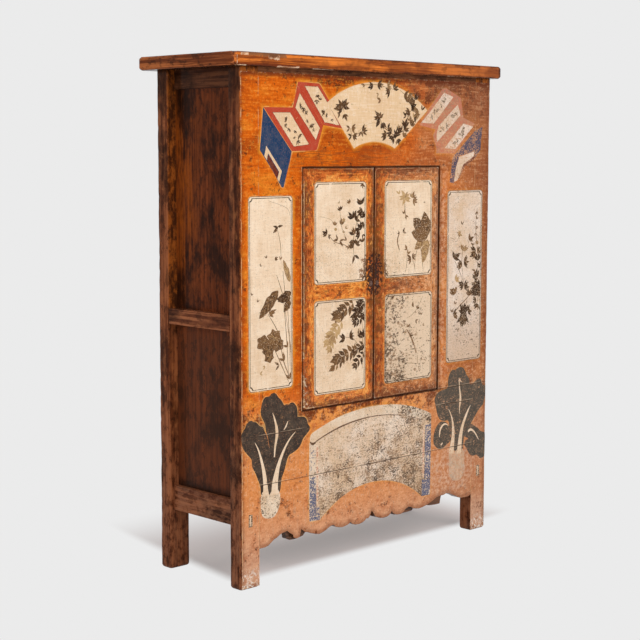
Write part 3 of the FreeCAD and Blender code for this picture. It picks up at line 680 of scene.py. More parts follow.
def lacquered_top(name):
    """The front member of the top: worn lacquer on its front edge and stain above, with chips at the left."""
    tints = bpy.context.scene.cabinet_finishes

    def build(mixer):
        shade = wood_shade(mixer, "YZX", tone(84, 40, 20), tone(150, 80, 38), tone(40, 21, 13), 0.6, 0.6)
        at = mixer.place()
        _, x, y, z = at
        ragged = noise(at[0], 0.02, 5, 0.7, (3, 1, 1)) * 0.5 + mixer.facing(1)
        wood = shade["wood"]
        lacquer = mix(ease(wood["Streaks"], 0.4, 0.58), tone(118, 50, 18), tone(222, 122, 46))
        lacquer = mix(ease(x, -0.1, 0.5, 0.5), lacquer, tone(168, 96, 56))
        lacquer = mix(ease(wood["Patches"], 0.54, 0.4, 0.6), lacquer, tone(112, 50, 20))
        lacquer = mix(ease(wood["Blotches"], 0.47, 0.38, 0.4), lacquer, tone(86, 38, 18))
        rims = least(z - TOP_FOOT, TOP_FACE - z)
        rims = wood["Blotches"] * 0.014 + (rims - 0.007)
        lacquer = mix(ease(rims, 0.007, 0.002, 0.6), lacquer, tone(72, 36, 20))
        tint = mix(ease(ragged, -0.42, -0.6), shade["colour"], lacquer)
        front = ease(y, CAD_BOX[0].y + 0.016, CAD_BOX[0].y + 0.009)
        chipped = most(*(spot(at, *chip) for chip in TOP_CHIPS)) * front
        end = ease(wood["Blotches"] * 0.02 + x, 0.604, 0.62, 0.9)
        tint = mix(end * front, tint, tone(44, 23, 16))
        grimy = spot(at, -484, 1635, 150, 14, 0.012) * front
        tint = mix(grimy * 0.7, tint, tone(112, 78, 54))
        tint = mix(chipped * 0.8, tint, mix(ease(wood["Blotches"], 0.4, 0.6), tone(150, 96, 60),
                                            tints.chalk))
        inside = spot(at, -460, 1633, 36, 13, 0.013) * front
        return {**shade, "colour": mix(inside, tint, tone(112, 70, 44))}
    return finish_material(name, build, specular=0.07, bump=0.0006)


def leafy(name, wear):
    """Brush strokes from brown black to ochre, thin where the brush ran dry or the paint has gone."""
    tints = bpy.context.scene.cabinet_finishes

    def build(mixer):
        at = mixer.place()[0]
        wash = noise(at, 0.012, 4, 0.65)
        shade = mixer.attribute("shade") + (wash * 0.7 - 0.38)
        dark = mix(ease(shade, 0.0, 0.5), tone(60, 40, 27), tone(122, 88, 57))
        tint = mix(ease(shade, 0.45, 1.0), dark, tone(190, 154, 107))
        grit = noise(at, 0.0045, 4, 0.7)
        gone = ease(grit + wear * 0.3, 0.585, 0.68, 0.65)
        under = mixer.group("Cream paint", Soil=0.4, Paint=tuple(tints.cream))["Colour"]
        return {"colour": mix(gone, tint, under), "roughness": ease(grit, 0.0, 1.0, 0.9)}
    return finish_material(name, build, specular=0.04)


# Geometry.

def add_piece(name, vertices, faces, body, material, smooth=False, numbers=None, stands_for=()):
    """A mesh piece that moves with a body, with its faces turned outwards."""
    mesh = bpy.data.meshes.new(name)
    mesh.from_pydata(vertices, [], faces)
    turned = bmesh.new()
    turned.from_mesh(mesh)
    bmesh.ops.recalc_face_normals(turned, faces=turned.faces)
    turned.to_mesh(mesh)
    turned.free()
    for label, values in (numbers or {}).items():
        mesh.attributes.new(label, "FLOAT", "POINT").data.foreach_set("value", values)
    if smooth:
        mesh.shade_smooth()
    mesh.materials.append(material)
    piece = bpy.data.objects.new(name, mesh)
    bpy.context.scene.collection.objects.link(piece)
    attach(piece, body)
    if stands_for:
        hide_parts(*stands_for)
    return piece


def drawn(points, steps=5, closed=True):
    """A smooth line through points. A point with a third value of 1 is a sharp corner."""
    count = len(points)
    line = []
    for index in range(count if closed else count - 1):
        here, there = points[index], points[(index + 1) % count]
        before = points[index - 1] if closed or index else here
        after = points[(index + 2) % count] if closed or index + 2 < count else there
        if len(here) > 2:
            before = here
        if len(there) > 2:
            after = there
        for step in range(steps):
            t = step / steps
            line.append(tuple(0.5 * (2 * b + (c - a) * t + (2 * a - 5 * b + 4 * c - d) * t * t
                                     + (3 * b - a - 3 * c + d) * t ** 3)
                              for a, b, c, d in zip(before[:2], here[:2], there[:2], after[:2])))
    if not closed:
        line.append(tuple(points[-1][:2]))
    return line


def stroke(points, widths, steps=6):
    """The outline of a brush stroke along a smooth line, as wide at each point as the widths say."""
    spine = drawn(points, steps, closed=False)
    left, right = [], []
    for index, (x, z) in enumerate(spine):
        share = index / (len(spine) - 1) * (len(widths) - 1)
        low = min(int(share), len(widths) - 2)
        half = (widths[low] + (widths[low + 1] - widths[low]) * (share - low)) / 2
        (ax, az), (bx, bz) = spine[max(index - 1, 0)], spine[min(index + 1, len(spine) - 1)]
        run = math.hypot(bx - ax, bz - az) or 1
        left.append((x - (bz - az) / run * half, z + (bx - ax) / run * half))
        right.append((x + (bz - az) / run * half, z - (bx - ax) / run * half))
    return left + right[::-1]


def arc(middle, radius, start, end, steps=24):
    """Points on a circle between two angles in degrees."""
    turns = [math.radians(start + (end - start) * n / steps) for n in range(steps + 1)]
    return [(middle[0] + radius * math.cos(a), middle[1] + radius * math.sin(a)) for a in turns]


def field(x0, x1, z0, z1, radius, notched=False, steps=5):
    """A rectangle with its corners rounded, or notched with hollow quarter rounds."""
    line = []
    for cx, cz, turn in ((x1, z1, 0), (x0, z1, 90), (x0, z0, 180), (x1, z0, 270)):
        if notched:
            line += arc((cx, cz), radius, turn + 270, turn + 180, steps)
        else:
            inward = (cx - radius * (1 if cx == x1 else -1), cz - radius * (1 if cz == z1 else -1))
            line += arc(inward, radius, turn, turn + 90, steps)
    return line


def slab(made, outline, front, back, shade=0.0):
    """Add a flat solid with the given outline in millimetres to a mesh being made."""
    vertices, faces, shades = made
    first, count = len(vertices), len(outline)
    vertices += [(x * MM, y, z * MM) for y in (front, back) for x, z in outline]
    shades += [shade] * (2 * count)
    faces += [tuple(range(first, first + count)), tuple(range(first + 2 * count - 1, first + count - 1, -1))]
    faces += [(first + n, first + (n + 1) % count, first + count + (n + 1) % count, first + count + n)
              for n in range(count)]


def ring(made, outer, inner, front, back):
    """Add a flat closed band between two outlines with as many points each."""
    vertices, faces, shades = made
    first, count = len(vertices), len(outer)
    vertices += [(x * MM, y, z * MM) for y in (front, back) for line in (outer, inner) for x, z in line]
    shades += [0.0] * (4 * count)
    for n in range(count):
        m = (n + 1) % count
        a, b = first + n, first + m
        faces += [(a, b, b + count, a + count), (a + 3 * count, b + 3 * count, b + 2 * count, a + 2 * count),
                  (b, a, a + 2 * count, b + 2 * count),
                  (a + count, b + count, b + 3 * count, a + 3 * count)]


def coat(level):
    """The depth of the face of a layer of paint. The lacquer is level 0."""
    sizes = bpy.context.scene.cabinet_sizes
    return FRONT - sizes.ground - level * sizes.paint


def paint(name, shapes, level, material, body="cabinet", bands=()):
    """One piece of flat painted shapes, each an outline or an outline and a shade."""
    made = ([], [], [])
    for number, shape in enumerate(shapes):
        outline, shade = shape if isinstance(shape[1], float) else (shape, 0.0)
        slab(made, outline, coat(level) - number % 31 * 0.005 * MM, coat(0), shade)
    for outer, inner in bands:
        ring(made, outer, inner, coat(level), coat(0))
    return add_piece(name, made[0], made[1], body, material, numbers={"shade": made[2]})


def distances(points, outlines):
    """How far each point is outside the nearest outline, or less than zero inside it, in millimetres."""
    points = np.asarray(points, float)
    nearest = np.full(len(points), BEYOND)
    for outline in outlines:
        start = np.asarray(outline, float)
        run = np.roll(start, -1, 0) - start
        away = np.full(len(points), BEYOND)
        inside = np.zeros(len(points), bool)
        for (ax, az), (dx, dz) in zip(start, run):
            px, pz = points[:, 0] - ax, points[:, 1] - az
            share = np.clip((px * dx + pz * dz) / max(dx * dx + dz * dz, 1e-9), 0, 1)
            away = np.minimum(away, np.hypot(px - share * dx, pz - share * dz))
            if dz:
                crossing = (pz >= 0) != (pz >= dz)
                inside ^= crossing & (px < dx * pz / dz)
        nearest = np.minimum(nearest, np.where(inside, -away, away))
    return nearest


def graded(low, high, cell):
    """Places between two ends, close together near them."""
    near = (0, 3, 8)
    rim = near[-1]
    span = high - low - 2 * rim
    count = max(1, round(span / cell))
    inner = [low + rim + span * n / count for n in range(1, count)]
    return [low + d for d in near] + inner + [high - d for d in reversed(near)]


def ground_sheet(name, x, z, material, body="cabinet", free="", lower=None, motifs=(), corner=2, bend=None):
    """A sheet of lacquered cloth over a board, in millimetres. Its free edges are worn to a ragged line."""
    sizes = bpy.context.scene.cabinet_sizes
    cell = sizes.cell / MM
    columns = sorted(set(graded(*x, cell)) | {px for px, _ in lower or () if x[0] < px < x[1]})
    rows = graded(*z, cell)
    points = []
    for j, height in enumerate(rows):
        for i, across in enumerate(columns):
            px, pz = across, height
            if lower:
                foot = np.interp(across, *zip(*lower))
                pz = foot + (height - z[0]) / (z[1] - z[0]) * (z[1] - foot)
            ragged = 0.6 + 1.6 * abs(rough.noise(Vector((px * 0.06, pz * 0.06, len(name)))))
            if i == 0 and "l" in free or i == len(columns) - 1 and "r" in free:
                px += ragged if i == 0 else -ragged
            if j == 0 and "b" in free or j == len(rows) - 1 and "t" in free:
                pz += ragged if j == 0 else -ragged
            points.append((px, pz))
    far = 200
    box = (x[0] - (0 if "l" in free else far), x[1] + (0 if "r" in free else far),
           z[0] - (0 if "b" in free else far), z[1] + (0 if "t" in free else far))
    edge = np.full(len(points), BEYOND)
    if free and not lower:
        edge = -distances(points, [field(*box, corner + 8)])
    if lower:
        rim = [*lower, (x[1] + far, z[1] + far), (x[0] - far, z[1] + far)]
        edge = np.minimum(edge, np.abs(distances(points, [rim])))
    if corner > 2:
        cut = field(*box, corner)
        outside = distances(points, [cut])
        line = np.array(cut)
        points = [tuple(line[np.argmin(np.hypot(*(line - p).T))]) if out > 0 else p
                  for p, out in zip(points, outside)]
    across, up = len(columns), len(rows)
    drop = bend or (lambda _: 0.0)
    vertices = [(px * MM, coat(0) + drop(px) * MM, pz * MM) for px, pz in points]
    faces = [(a, a + 1, a + 1 + across, a + across)
             for j in range(up - 1) for a in range(j * across, j * across + across - 1)]
    border = [*range(across), *range(2 * across - 1, up * across, across),
              *range(up * across - 2, (up - 1) * across - 1, -1), *range((up - 2) * across, 0, -across)]
    back = len(vertices)
    vertices += [(vertices[n][0], vertices[n][1] + sizes.ground, vertices[n][2]) for n in border]
    count = len(border)
    faces += [(border[n], border[(n + 1) % count], back + (n + 1) % count, back + n) for n in range(count)]
    if not bend:
        faces.append(tuple(range(back + count - 1, back - 1, -1)))
    motif = distances(points, motifs) if motifs else np.full(len(points), BEYOND)
    numbers = {label: [*(values * MM), *(values[border] * MM)]
               for label, values in (("edge", edge), ("motif", motif))}
    return add_piece(name, vertices, faces, body, material, numbers=numbers)


def worn_bar(node, low, high, along, material, edges, foot, mitre=0.0, rub=0.5):
    """A bar with worn edges in place of a solid. Edges are the roundings of its four long edges in
    millimetres, turning from the lower corner of its two other axes, and foot rounds its two ends."""
    name = f"worn_{node}"
    u, v = [axis for axis in range(3) if axis != along]
    span = high[along] - low[along]
    count = max(2, round(span / bpy.context.scene.cabinet_sizes.station))
    ends = [0.0, 0.15, 0.45, 1.0]
    begin, finish = foot[0] * MM, foot[1] * MM
    places = [begin * e for e in ends[:-1]]
    places += [begin + (span - begin - finish) * n / count for n in range(count + 1)]
    places += [span - finish * e for e in reversed(ends[:-1])]
    corners = ((low[u], low[v], 180), (high[u], low[v], 270), (high[u], high[v], 0), (low[u], high[v], 90))
    vertices, steps = [], 4
    for place in places:
        near, size = (place, begin) if place < span / 2 else (span - place, finish)
        shrink = size - math.sqrt(max(size * size - (size - near) ** 2, 0)) if near < size else 0
        for number, ((cu, cv, turn), edge) in enumerate(zip(corners, edges)):
            sway = rough.noise(Vector((place * 9, number * 3.7 + len(name), low[u] * 5)))
            chip = rough.noise(Vector((place * 42, number * 5.1, low[v] * 7 + len(name))))
            radius = edge * MM * (1 + rub * sway + rub * max(chip, 0) * 1.5) + shrink * 0.5
            for step in range(steps + 1):
                turned = math.radians(turn + 90 * step / steps)
                su, sv = (1 if cu == low[u] else -1), (1 if cv == low[v] else -1)
                point = [0.0, 0.0, 0.0]
                point[u] = cu + su * (shrink + radius) + radius * math.cos(turned)
                point[v] = cv + sv * (shrink + radius) + radius * math.sin(turned)
                point[along] = low[along] + place
                if mitre:
                    # The mitre runs in from the outer edge, whose place along the second axis has its sign.
                    other = u if along != u and u != 2 else v
                    inward = (point[other] - low[other]) if mitre > 0 else (high[other] - point[other])
                    point[along] = low[along] + inward + (place / span) * (span - 2 * inward)
                vertices.append(tuple(point))
    around = 4 * (steps + 1)
    faces = [(s * around + n, s * around + (n + 1) % around, (s + 1) * around + (n + 1) % around,
              (s + 1) * around + n) for s in range(len(places) - 1) for n in range(around)]
    last = (len(places) - 1) * around
    faces += [tuple(range(around - 1, -1, -1)), tuple(range(last, last + around))]
    made = add_piece(name, vertices, faces, "cabinet", material, smooth=True,
                     stands_for=(node,))
    edge_split(made)
    return made


def edge_split(piece):
    """Keep sharp edges sharp on a smooth piece."""
    split = piece.modifiers.new("Sharp edges", "EDGE_SPLIT")
    split.split_angle = math.radians(50)


# Painted outlines, all in millimetres on the front: across from the middle, then up from the floor.

FAN = arc((8, 1174), 394, 51.5, 124.5, 30) + arc((0, 1162), 216, 116.0, 63.8, 16)

CABBAGE_LEFT = [(-488, 286), (-497, 292), (-500, 318), (-508, 336), (-519, 360), (-531, 380), (-534, 392),
    (-536, 407), (-553, 425), (-567, 441), (-574, 458), (-577, 484), (-569, 500), (-561, 508),
    (-557, 517), (-548, 525), (-537, 528), (-527, 523), (-515, 519), (-501, 507), (-489, 502),
    (-482, 489), (-474, 476), (-468, 460), (-465, 444), (-461, 430, 1), (-465, 452), (-469, 470),
    (-475, 485), (-478, 503), (-481, 513), (-489, 526), (-497, 542), (-497, 556), (-493, 573),
    (-486, 587), (-477, 594), (-462, 595), (-452, 602), (-440, 603), (-431, 597), (-424, 588),
    (-411, 577), (-404, 566), (-399, 560), (-390, 562), (-379, 560), (-371, 564), (-361, 564),
    (-351, 556), (-344, 544), (-342, 530), (-342, 516, 1), (-330, 515), (-315, 513), (-302, 504),
    (-297, 489), (-288, 476), (-292, 465), (-301, 457), (-317, 444), (-325, 430), (-336, 417),
    (-350, 409), (-366, 403), (-379, 398), (-387, 386), (-393, 368), (-401, 348), (-410, 330),
    (-413, 310), (-416, 294), (-423, 284), (-440, 278), (-470, 278)]
CABBAGE_LEFT_RIBS = [([(-440, 282), (-438, 320), (-431, 350), (-424, 372), (-413, 396), (-399, 420),
    (-382, 443), (-364, 460), (-350, 470)], (30, 24, 18, 14, 11, 8, 6, 4, 1)), ([(-476, 282), (-479, 320),
    (-482, 345), (-487, 370), (-494, 395), (-502, 420), (-511, 440), (-522, 458)],
    (26, 16, 15, 12, 9, 6, 4, 1)), ([(-441, 401), (-438, 430), (-434, 450), (-430, 470), (-431, 490),
    (-436, 510), (-442, 528), (-448, 541)], (4, 7, 9, 12, 11, 7, 5, 1)), ([(-401, 481), (-392, 492),
    (-383, 508)], (1, 6, 2))]
CABBAGE_LEFT_BULB = [(-492, 296), (-497, 282), (-499, 264), (-497, 244), (-493, 226), (-484, 216),
    (-470, 211), (-455, 210), (-440, 214), (-428, 227), (-420, 243), (-416, 262), (-418, 280),
    (-426, 296), (-443, 304), (-462, 284, 1), (-474, 302)]

CABBAGE_RIGHT = [(392, 318), (390, 345), (384, 385), (378, 414), (358, 416), (340, 421), (328, 430),
    (319, 448), (312, 470), (306, 490), (307, 502), (314, 512), (327, 521), (346, 526), (364, 528),
    (376, 535, 1), (374, 552), (379, 572), (388, 585), (398, 592), (411, 590), (424, 595), (440, 597),
    (455, 592), (466, 579), (472, 568), (483, 556), (490, 543), (488, 531, 1), (500, 530), (515, 536),
    (526, 543), (538, 547), (550, 542), (556, 530), (562, 521), (570, 520), (576, 515), (577, 498),
    (575, 480), (571, 465), (563, 449), (549, 440), (535, 428), (520, 412), (508, 399), (495, 385),
    (481, 374), (465, 352), (460, 320), (457, 300), (446, 292), (420, 300)]
CURL_LEFT = [(387, 340), (374, 333), (360, 325), (345, 319), (329, 321), (312, 332), (302, 345),
    (301, 361), (304, 378), (312, 395), (325, 409), (341, 416), (360, 413), (376, 402), (386, 386),
    (391, 362)]
CURL_RIGHT = [(463, 374), (480, 385), (500, 388), (520, 378), (540, 367), (552, 356), (566, 351),
    (577, 343), (577, 300), (576, 266), (565, 258), (551, 258), (541, 266), (530, 273), (516, 271),
    (500, 276), (486, 290), (476, 305), (465, 318), (470, 332, 1), (486, 337), (470, 345, 1), (461, 352)]
CABBAGE_RIGHT_RIBS = [([(396, 296), (401, 330), (404, 352), (405, 378), (402, 402), (397, 422),
    (388, 441), (379, 456)], (26, 20, 16, 13, 9, 6, 4, 1)), ([(437, 290), (441, 330), (446, 360),
    (455, 388), (468, 414), (482, 437), (496, 456)], (24, 20, 17, 13, 11, 7, 1)), ([(437, 434),
    (437, 455), (440, 474), (441, 492), (438, 512), (435, 530), (433, 556)], (2, 6, 10, 9, 6, 5, 2)),
    ([(430, 548), (436, 552), (447, 543)], (2, 8, 2)), ([(332, 362), (335, 384), (344, 398), (358, 405),
    (371, 402), (378, 396)], (3, 7, 8, 6, 4, 1)), ([(484, 362), (497, 368), (512, 362), (525, 350),
    (535, 337), (543, 326)], (8, 9, 6, 5, 4, 1)), ([(340, 333), (349, 340)], (6, 5))]
CABBAGE_RIGHT_BULB = [(386, 312), (383, 290), (384, 258), (388, 226), (395, 206), (420, 194), (450, 199),
    (463, 224), (467, 258), (464, 296), (452, 306, 1), (444, 288), (424, 306, 1), (412, 300)]

ALBUM_LEFT = {
    "cover": [[(-484, 1479), (-477, 1470), (-367, 1346), (-374, 1318), (-390, 1270), (-401, 1236),
        (-409, 1237), (-443, 1283), (-481, 1330), (-498, 1350)]],
    "borders": [[(-482, 1479), (-362, 1480), (-257, 1361), (-262, 1350), (-366, 1347)], [(-362, 1480),
        (-340, 1559), (-232, 1427), (-259, 1352)], [(-340, 1559), (-249, 1556), (-196, 1492),
        (-143, 1418), (-232, 1428)]],
    "leaves": [[(-446, 1464), (-374, 1465), (-294, 1369), (-300, 1367), (-358, 1361)], [(-352, 1480),
        (-333, 1525), (-246, 1419), (-264, 1381)], [(-312, 1547), (-255, 1546), (-208, 1492),
        (-160, 1428), (-226, 1437)]],
    "slip": [[(-472, 1363), (-408, 1286), (-419, 1254), (-427, 1263), (-419, 1284), (-465, 1341),
        (-470, 1320), (-480, 1332)]],
    "tab": [[(-464, 1337), (-421, 1283), (-428, 1264), (-469, 1319)]],
}
ALBUM_RIGHT = {
    "cover": [[(395, 1335), (500, 1416), (541, 1432), (531, 1352), (505, 1325), (498, 1346), (420, 1331),
        (402, 1290), (394, 1238), (371, 1240), (384, 1322)]],
    "borders": [[(215, 1433), (262, 1487), (330, 1557), (350, 1558), (425, 1528), (300, 1420)],
        [(300, 1424), (425, 1528), (438, 1462), (304, 1352), (284, 1400)], [(305, 1372), (438, 1462),
        (499, 1442), (395, 1340), (300, 1340)]],
    "leaves": [[(225, 1442), (262, 1472), (338, 1543), (384, 1530), (288, 1440)], [(312, 1432),
        (408, 1504), (423, 1470), (304, 1378), (302, 1404)], [(345, 1358), (438, 1441), (490, 1431),
        (398, 1355)]],
    "slip": [[(402, 1290), (394, 1242), (412, 1248), (442, 1302), (497, 1330), (498, 1346), (420, 1328)]],
    "tab": [[(412, 1262), (440, 1312), (500, 1336), (505, 1322), (450, 1296), (420, 1252)]],
}

ROLLER = drawn([(-288, 432), (-286, 446), (-274, 457), (-215, 478), (-150, 495), (-75, 506), (0, 510),
    (75, 507), (150, 497), (215, 480), (275, 457), (288, 446), (289, 434), (281, 425), (215, 448),
    (150, 465), (75, 474), (0, 477), (-75, 474), (-150, 465), (-215, 446), (-268, 425), (-280, 424)], 3)
SCROLL = ([(-291, 426), (-270, 427)] + arc((0, -240), 725, 108.5, 71.5, 20) + [(270, 427), (289, 428),
          (288, 300), (286, 167), (243, 168)] + arc((0, -124), 380, 50.5, 129.5, 24)
          + [(-243, 168), (-290, 170), (-292, 300)])
SCROLL_ENDS = [[(-290, 312), (-262, 312), (-260, 215), (-288, 213)], [(-291, 214), (-245, 212),
    (-243, 169), (-289, 171)], [(259, 414), (288, 414), (287, 226), (257, 228)], [(244, 226), (287, 224),
    (285, 168), (243, 169)], [(-284, 418), (-262, 418), (-263, 330), (-287, 330)]]
SCROLL_TAPES = [[(-259, 408), (-252, 408), (-250, 216), (-258, 216)], [(247, 408), (254, 408), (254, 232),
    (246, 232)]]

# Each panel's low and high places across and up, on the part that carries it.
PANELS = {
    "side_panel_left": ("cabinet", -546, -363, 614, 1211),
    "side_panel_right": ("cabinet", 361, 546, 618, 1213),
    "left_upper_panel": ("left_door", -270, -37, 927, 1250),
    "left_lower_panel": ("left_door", -270, -37, 574, 875),
    "right_upper_panel": ("right_door", 49, 282, 931, 1251),
    "right_lower_panel": ("right_door", 53, 286, 578, 876),
}


def panel_field(name, inset=0.0, radius=13, notched=False):
    _, x0, x1, z0, z1 = PANELS[name]
    return field(x0 + inset, x1 - inset, z0 + inset, z1 - inset, radius, notched)


# The lower edge of the apron, from left to right, with the places where a lobe has broken away.
APRON_EDGE = [(-504, 121), (-480, 121), (-466, 124), (-455, 131), (-441, 140), (-430, 143), (-418, 150),
    (-404, 154), (-386, 156), (-381, 152), (-362, 140), (-358, 129), (-345, 125), (-332, 128),
    (-326, 152), (-318, 146), (-308, 139), (-296, 138), (-282, 131), (-262, 125), (-245, 122),
    (-230, 125), (-215, 130), (-200, 137), (-190, 140), (-182, 141), (-177, 137), (-170, 132),
    (-155, 128), (-140, 126), (-125, 128), (-112, 131), (-104, 137), (-99, 133), (-93, 128), (-80, 124),
    (-60, 123), (-45, 126), (-34, 131), (-26, 137), (-20, 134), (-13, 140), (-3, 158), (6, 147),
    (14, 136), (26, 130), (40, 126), (56, 124), (72, 125), (85, 130), (94, 140), (104, 130), (120, 124),
    (140, 123), (152, 128), (165, 137), (178, 141), (190, 139), (202, 132), (215, 129), (230, 127),
    (245, 128), (262, 131), (277, 134), (286, 137), (304, 144), (320, 151), (345, 154), (358, 154),
    (370, 157), (385, 156), (400, 150), (420, 141), (436, 133), (452, 128), (472, 127), (492, 128),
    (504, 133)]
# The whole edge, as the wood behind the broken face still shows it.
APRON_BACK_EDGE = [*APRON_EDGE[:9], (-380, 129), (-366, 122), (-345, 121), (-326, 123), (-308, 126),
    (-296, 137), *APRON_EDGE[18:24], (-182, 141), *APRON_EDGE[27:32], (-104, 133), *APRON_EDGE[34:39],
    (-20, 130), (-13, 134), (-3, 140), (14, 134), *APRON_EDGE[45:50], (94, 133), (104, 127), (120, 122),
    (150, 121), (190, 121), (207, 128), *APRON_EDGE[60:63], (277, 130), (290, 126), (310, 124),
    (330, 123), (350, 123), (354, 140), *APRON_EDGE[68:]]


def front_motifs():
    """Outlines on the fixed front round which the lacquer is thin and yellow."""
    lines = [FAN, drawn(CABBAGE_LEFT), drawn(CABBAGE_RIGHT), SCROLL, ROLLER,
             panel_field("side_panel_left"), panel_field("side_panel_right")]
    for album in (ALBUM_LEFT, ALBUM_RIGHT):
        lines += album["cover"] + album["borders"]
    return lines


# Sprigs.

def turned(points, x, z, heading, size):
    """Points of a small shape drawn along +X, set at a place, heading and size."""
    c, s = math.cos(math.radians(heading)), math.sin(math.radians(heading))
    return [(x + (a * c - b * s) * size, z + (a * s + b * c) * size) for a, b in points]


# A leaf of length 1 and width 2 that starts at 0.
LEAF = ((0, 0), (0.16, 0.5), (0.40, 1.0), (0.66, 0.78), (0.86, 0.34), (1, 0), (0.84, -0.3), (0.60, -0.76),
        (0.36, -0.92), (0.14, -0.46))


def leaf(x, z, heading, size, width):
    """A pointed leaf that starts at a place."""
    return turned([(a, b * width / 2) for a, b in LEAF], x, z, heading, size)


def tinted(shade):
    """A shade kept between black 0 and ochre 1."""
    return min(max(shade, 0.0), 1.0)


def frond(chance, x, z, heading, size, width, pairs, shade):
    """A long leaf cut into pointed leaflets that lean forward on each side of its rib."""
    shapes = []
    for n in range(pairs):
        t = (n + 0.3) / pairs
        ((across, up),) = turned([(t * 0.84, 0)], x, z, heading, size)
        for side in (1, -1):
            swell = 0.4 + 0.8 * math.sin(math.pi * (0.2 + 0.62 * t))
            reach = size * width * 0.60 * swell * chance.uniform(0.8, 1.1)
            turn = heading + side * (60 - 30 * t) + chance.uniform(-7, 7)
            shapes.append((leaf(across, up, turn, reach, 0.46),
                           max(shade + chance.uniform(-0.16, 0.22), 0.0)))
    ((across, up),) = turned([(0.70, 0)], x, z, heading, size)
    shapes.append((leaf(across, up, heading, size * 0.34, 0.5), shade))
    return shapes


def blade(chance, x, z, heading, size, width, veins, shade):
    """A broad leaf with a wavy edge, and veins in other shades of its colour."""
    sides = []
    for side in (1, -1):
        sides.append([(t, side * width / 2 * math.sin(math.pi * t ** 0.8) ** 0.8 * chance.uniform(0.82, 1.1))
                      for t in (0.06, 0.18, 0.30, 0.42, 0.54, 0.66, 0.78, 0.90)])
    rim = drawn([(0, 0, 1), *sides[0], (1, 0, 1), *sides[1][::-1]], 3)
    shapes = [(turned(rim, x, z, heading, size), shade)]
    for n in range(veins):
        t = 0.1 + 0.7 * n / veins
        for side in (1, -1):
            vein = [(t, 0), (t + 0.10, side * width * 0.2), (t + 0.20, side * width * 0.32)]
            shapes.append((stroke(turned(vein, x, z, heading, size), (2.4, 1.8, 0.6), 2),
                           tinted(shade + (-0.28 if n % 2 else 0.3))))
    return shapes


def tuft(chance, x, z, heading, size, count, shade, spread=62):
    """Leaves that start together and spread about a heading in degrees."""
    shapes = []
    count = count + 1 if count > 2 else count
    for n in range(count):
        turn = heading + spread * (2 * (n + 0.5) / count - 1) + chance.uniform(-10, 10)
        reach = size * chance.uniform(0.75, 1.15)
        own = tinted(shade + chance.uniform(-0.12, 0.12))
        shapes.append((leaf(x, z, turn, reach, chance.uniform(0.32, 0.46)), own))
    return shapes


def rosette(chance, x, z, size, lobes, shade):
    """A rounded leaf or flower with a lobed rim and darker veins from its middle."""
    rim, veins = [], []
    start = chance.uniform(0, 6.28)
    for n in range(lobes * 2):
        turn = start + math.pi * n / lobes
        reach = size / 2 * (chance.uniform(0.94, 1.08) if n % 2 == 0 else chance.uniform(0.74, 0.84))
        rim.append((x + reach * math.cos(turn), z + reach * math.sin(turn) * 0.88))
        tip = (x + reach * 0.8 * math.cos(turn), z + reach * 0.7 * math.sin(turn))
        veins.append((stroke(((x, z), tip), (2.6, 1.0), 3), tinted(shade + (0.3 if n % 3 else -0.35))))
    return [(drawn(rim, 4), shade), *(veins if size > 30 else ())]


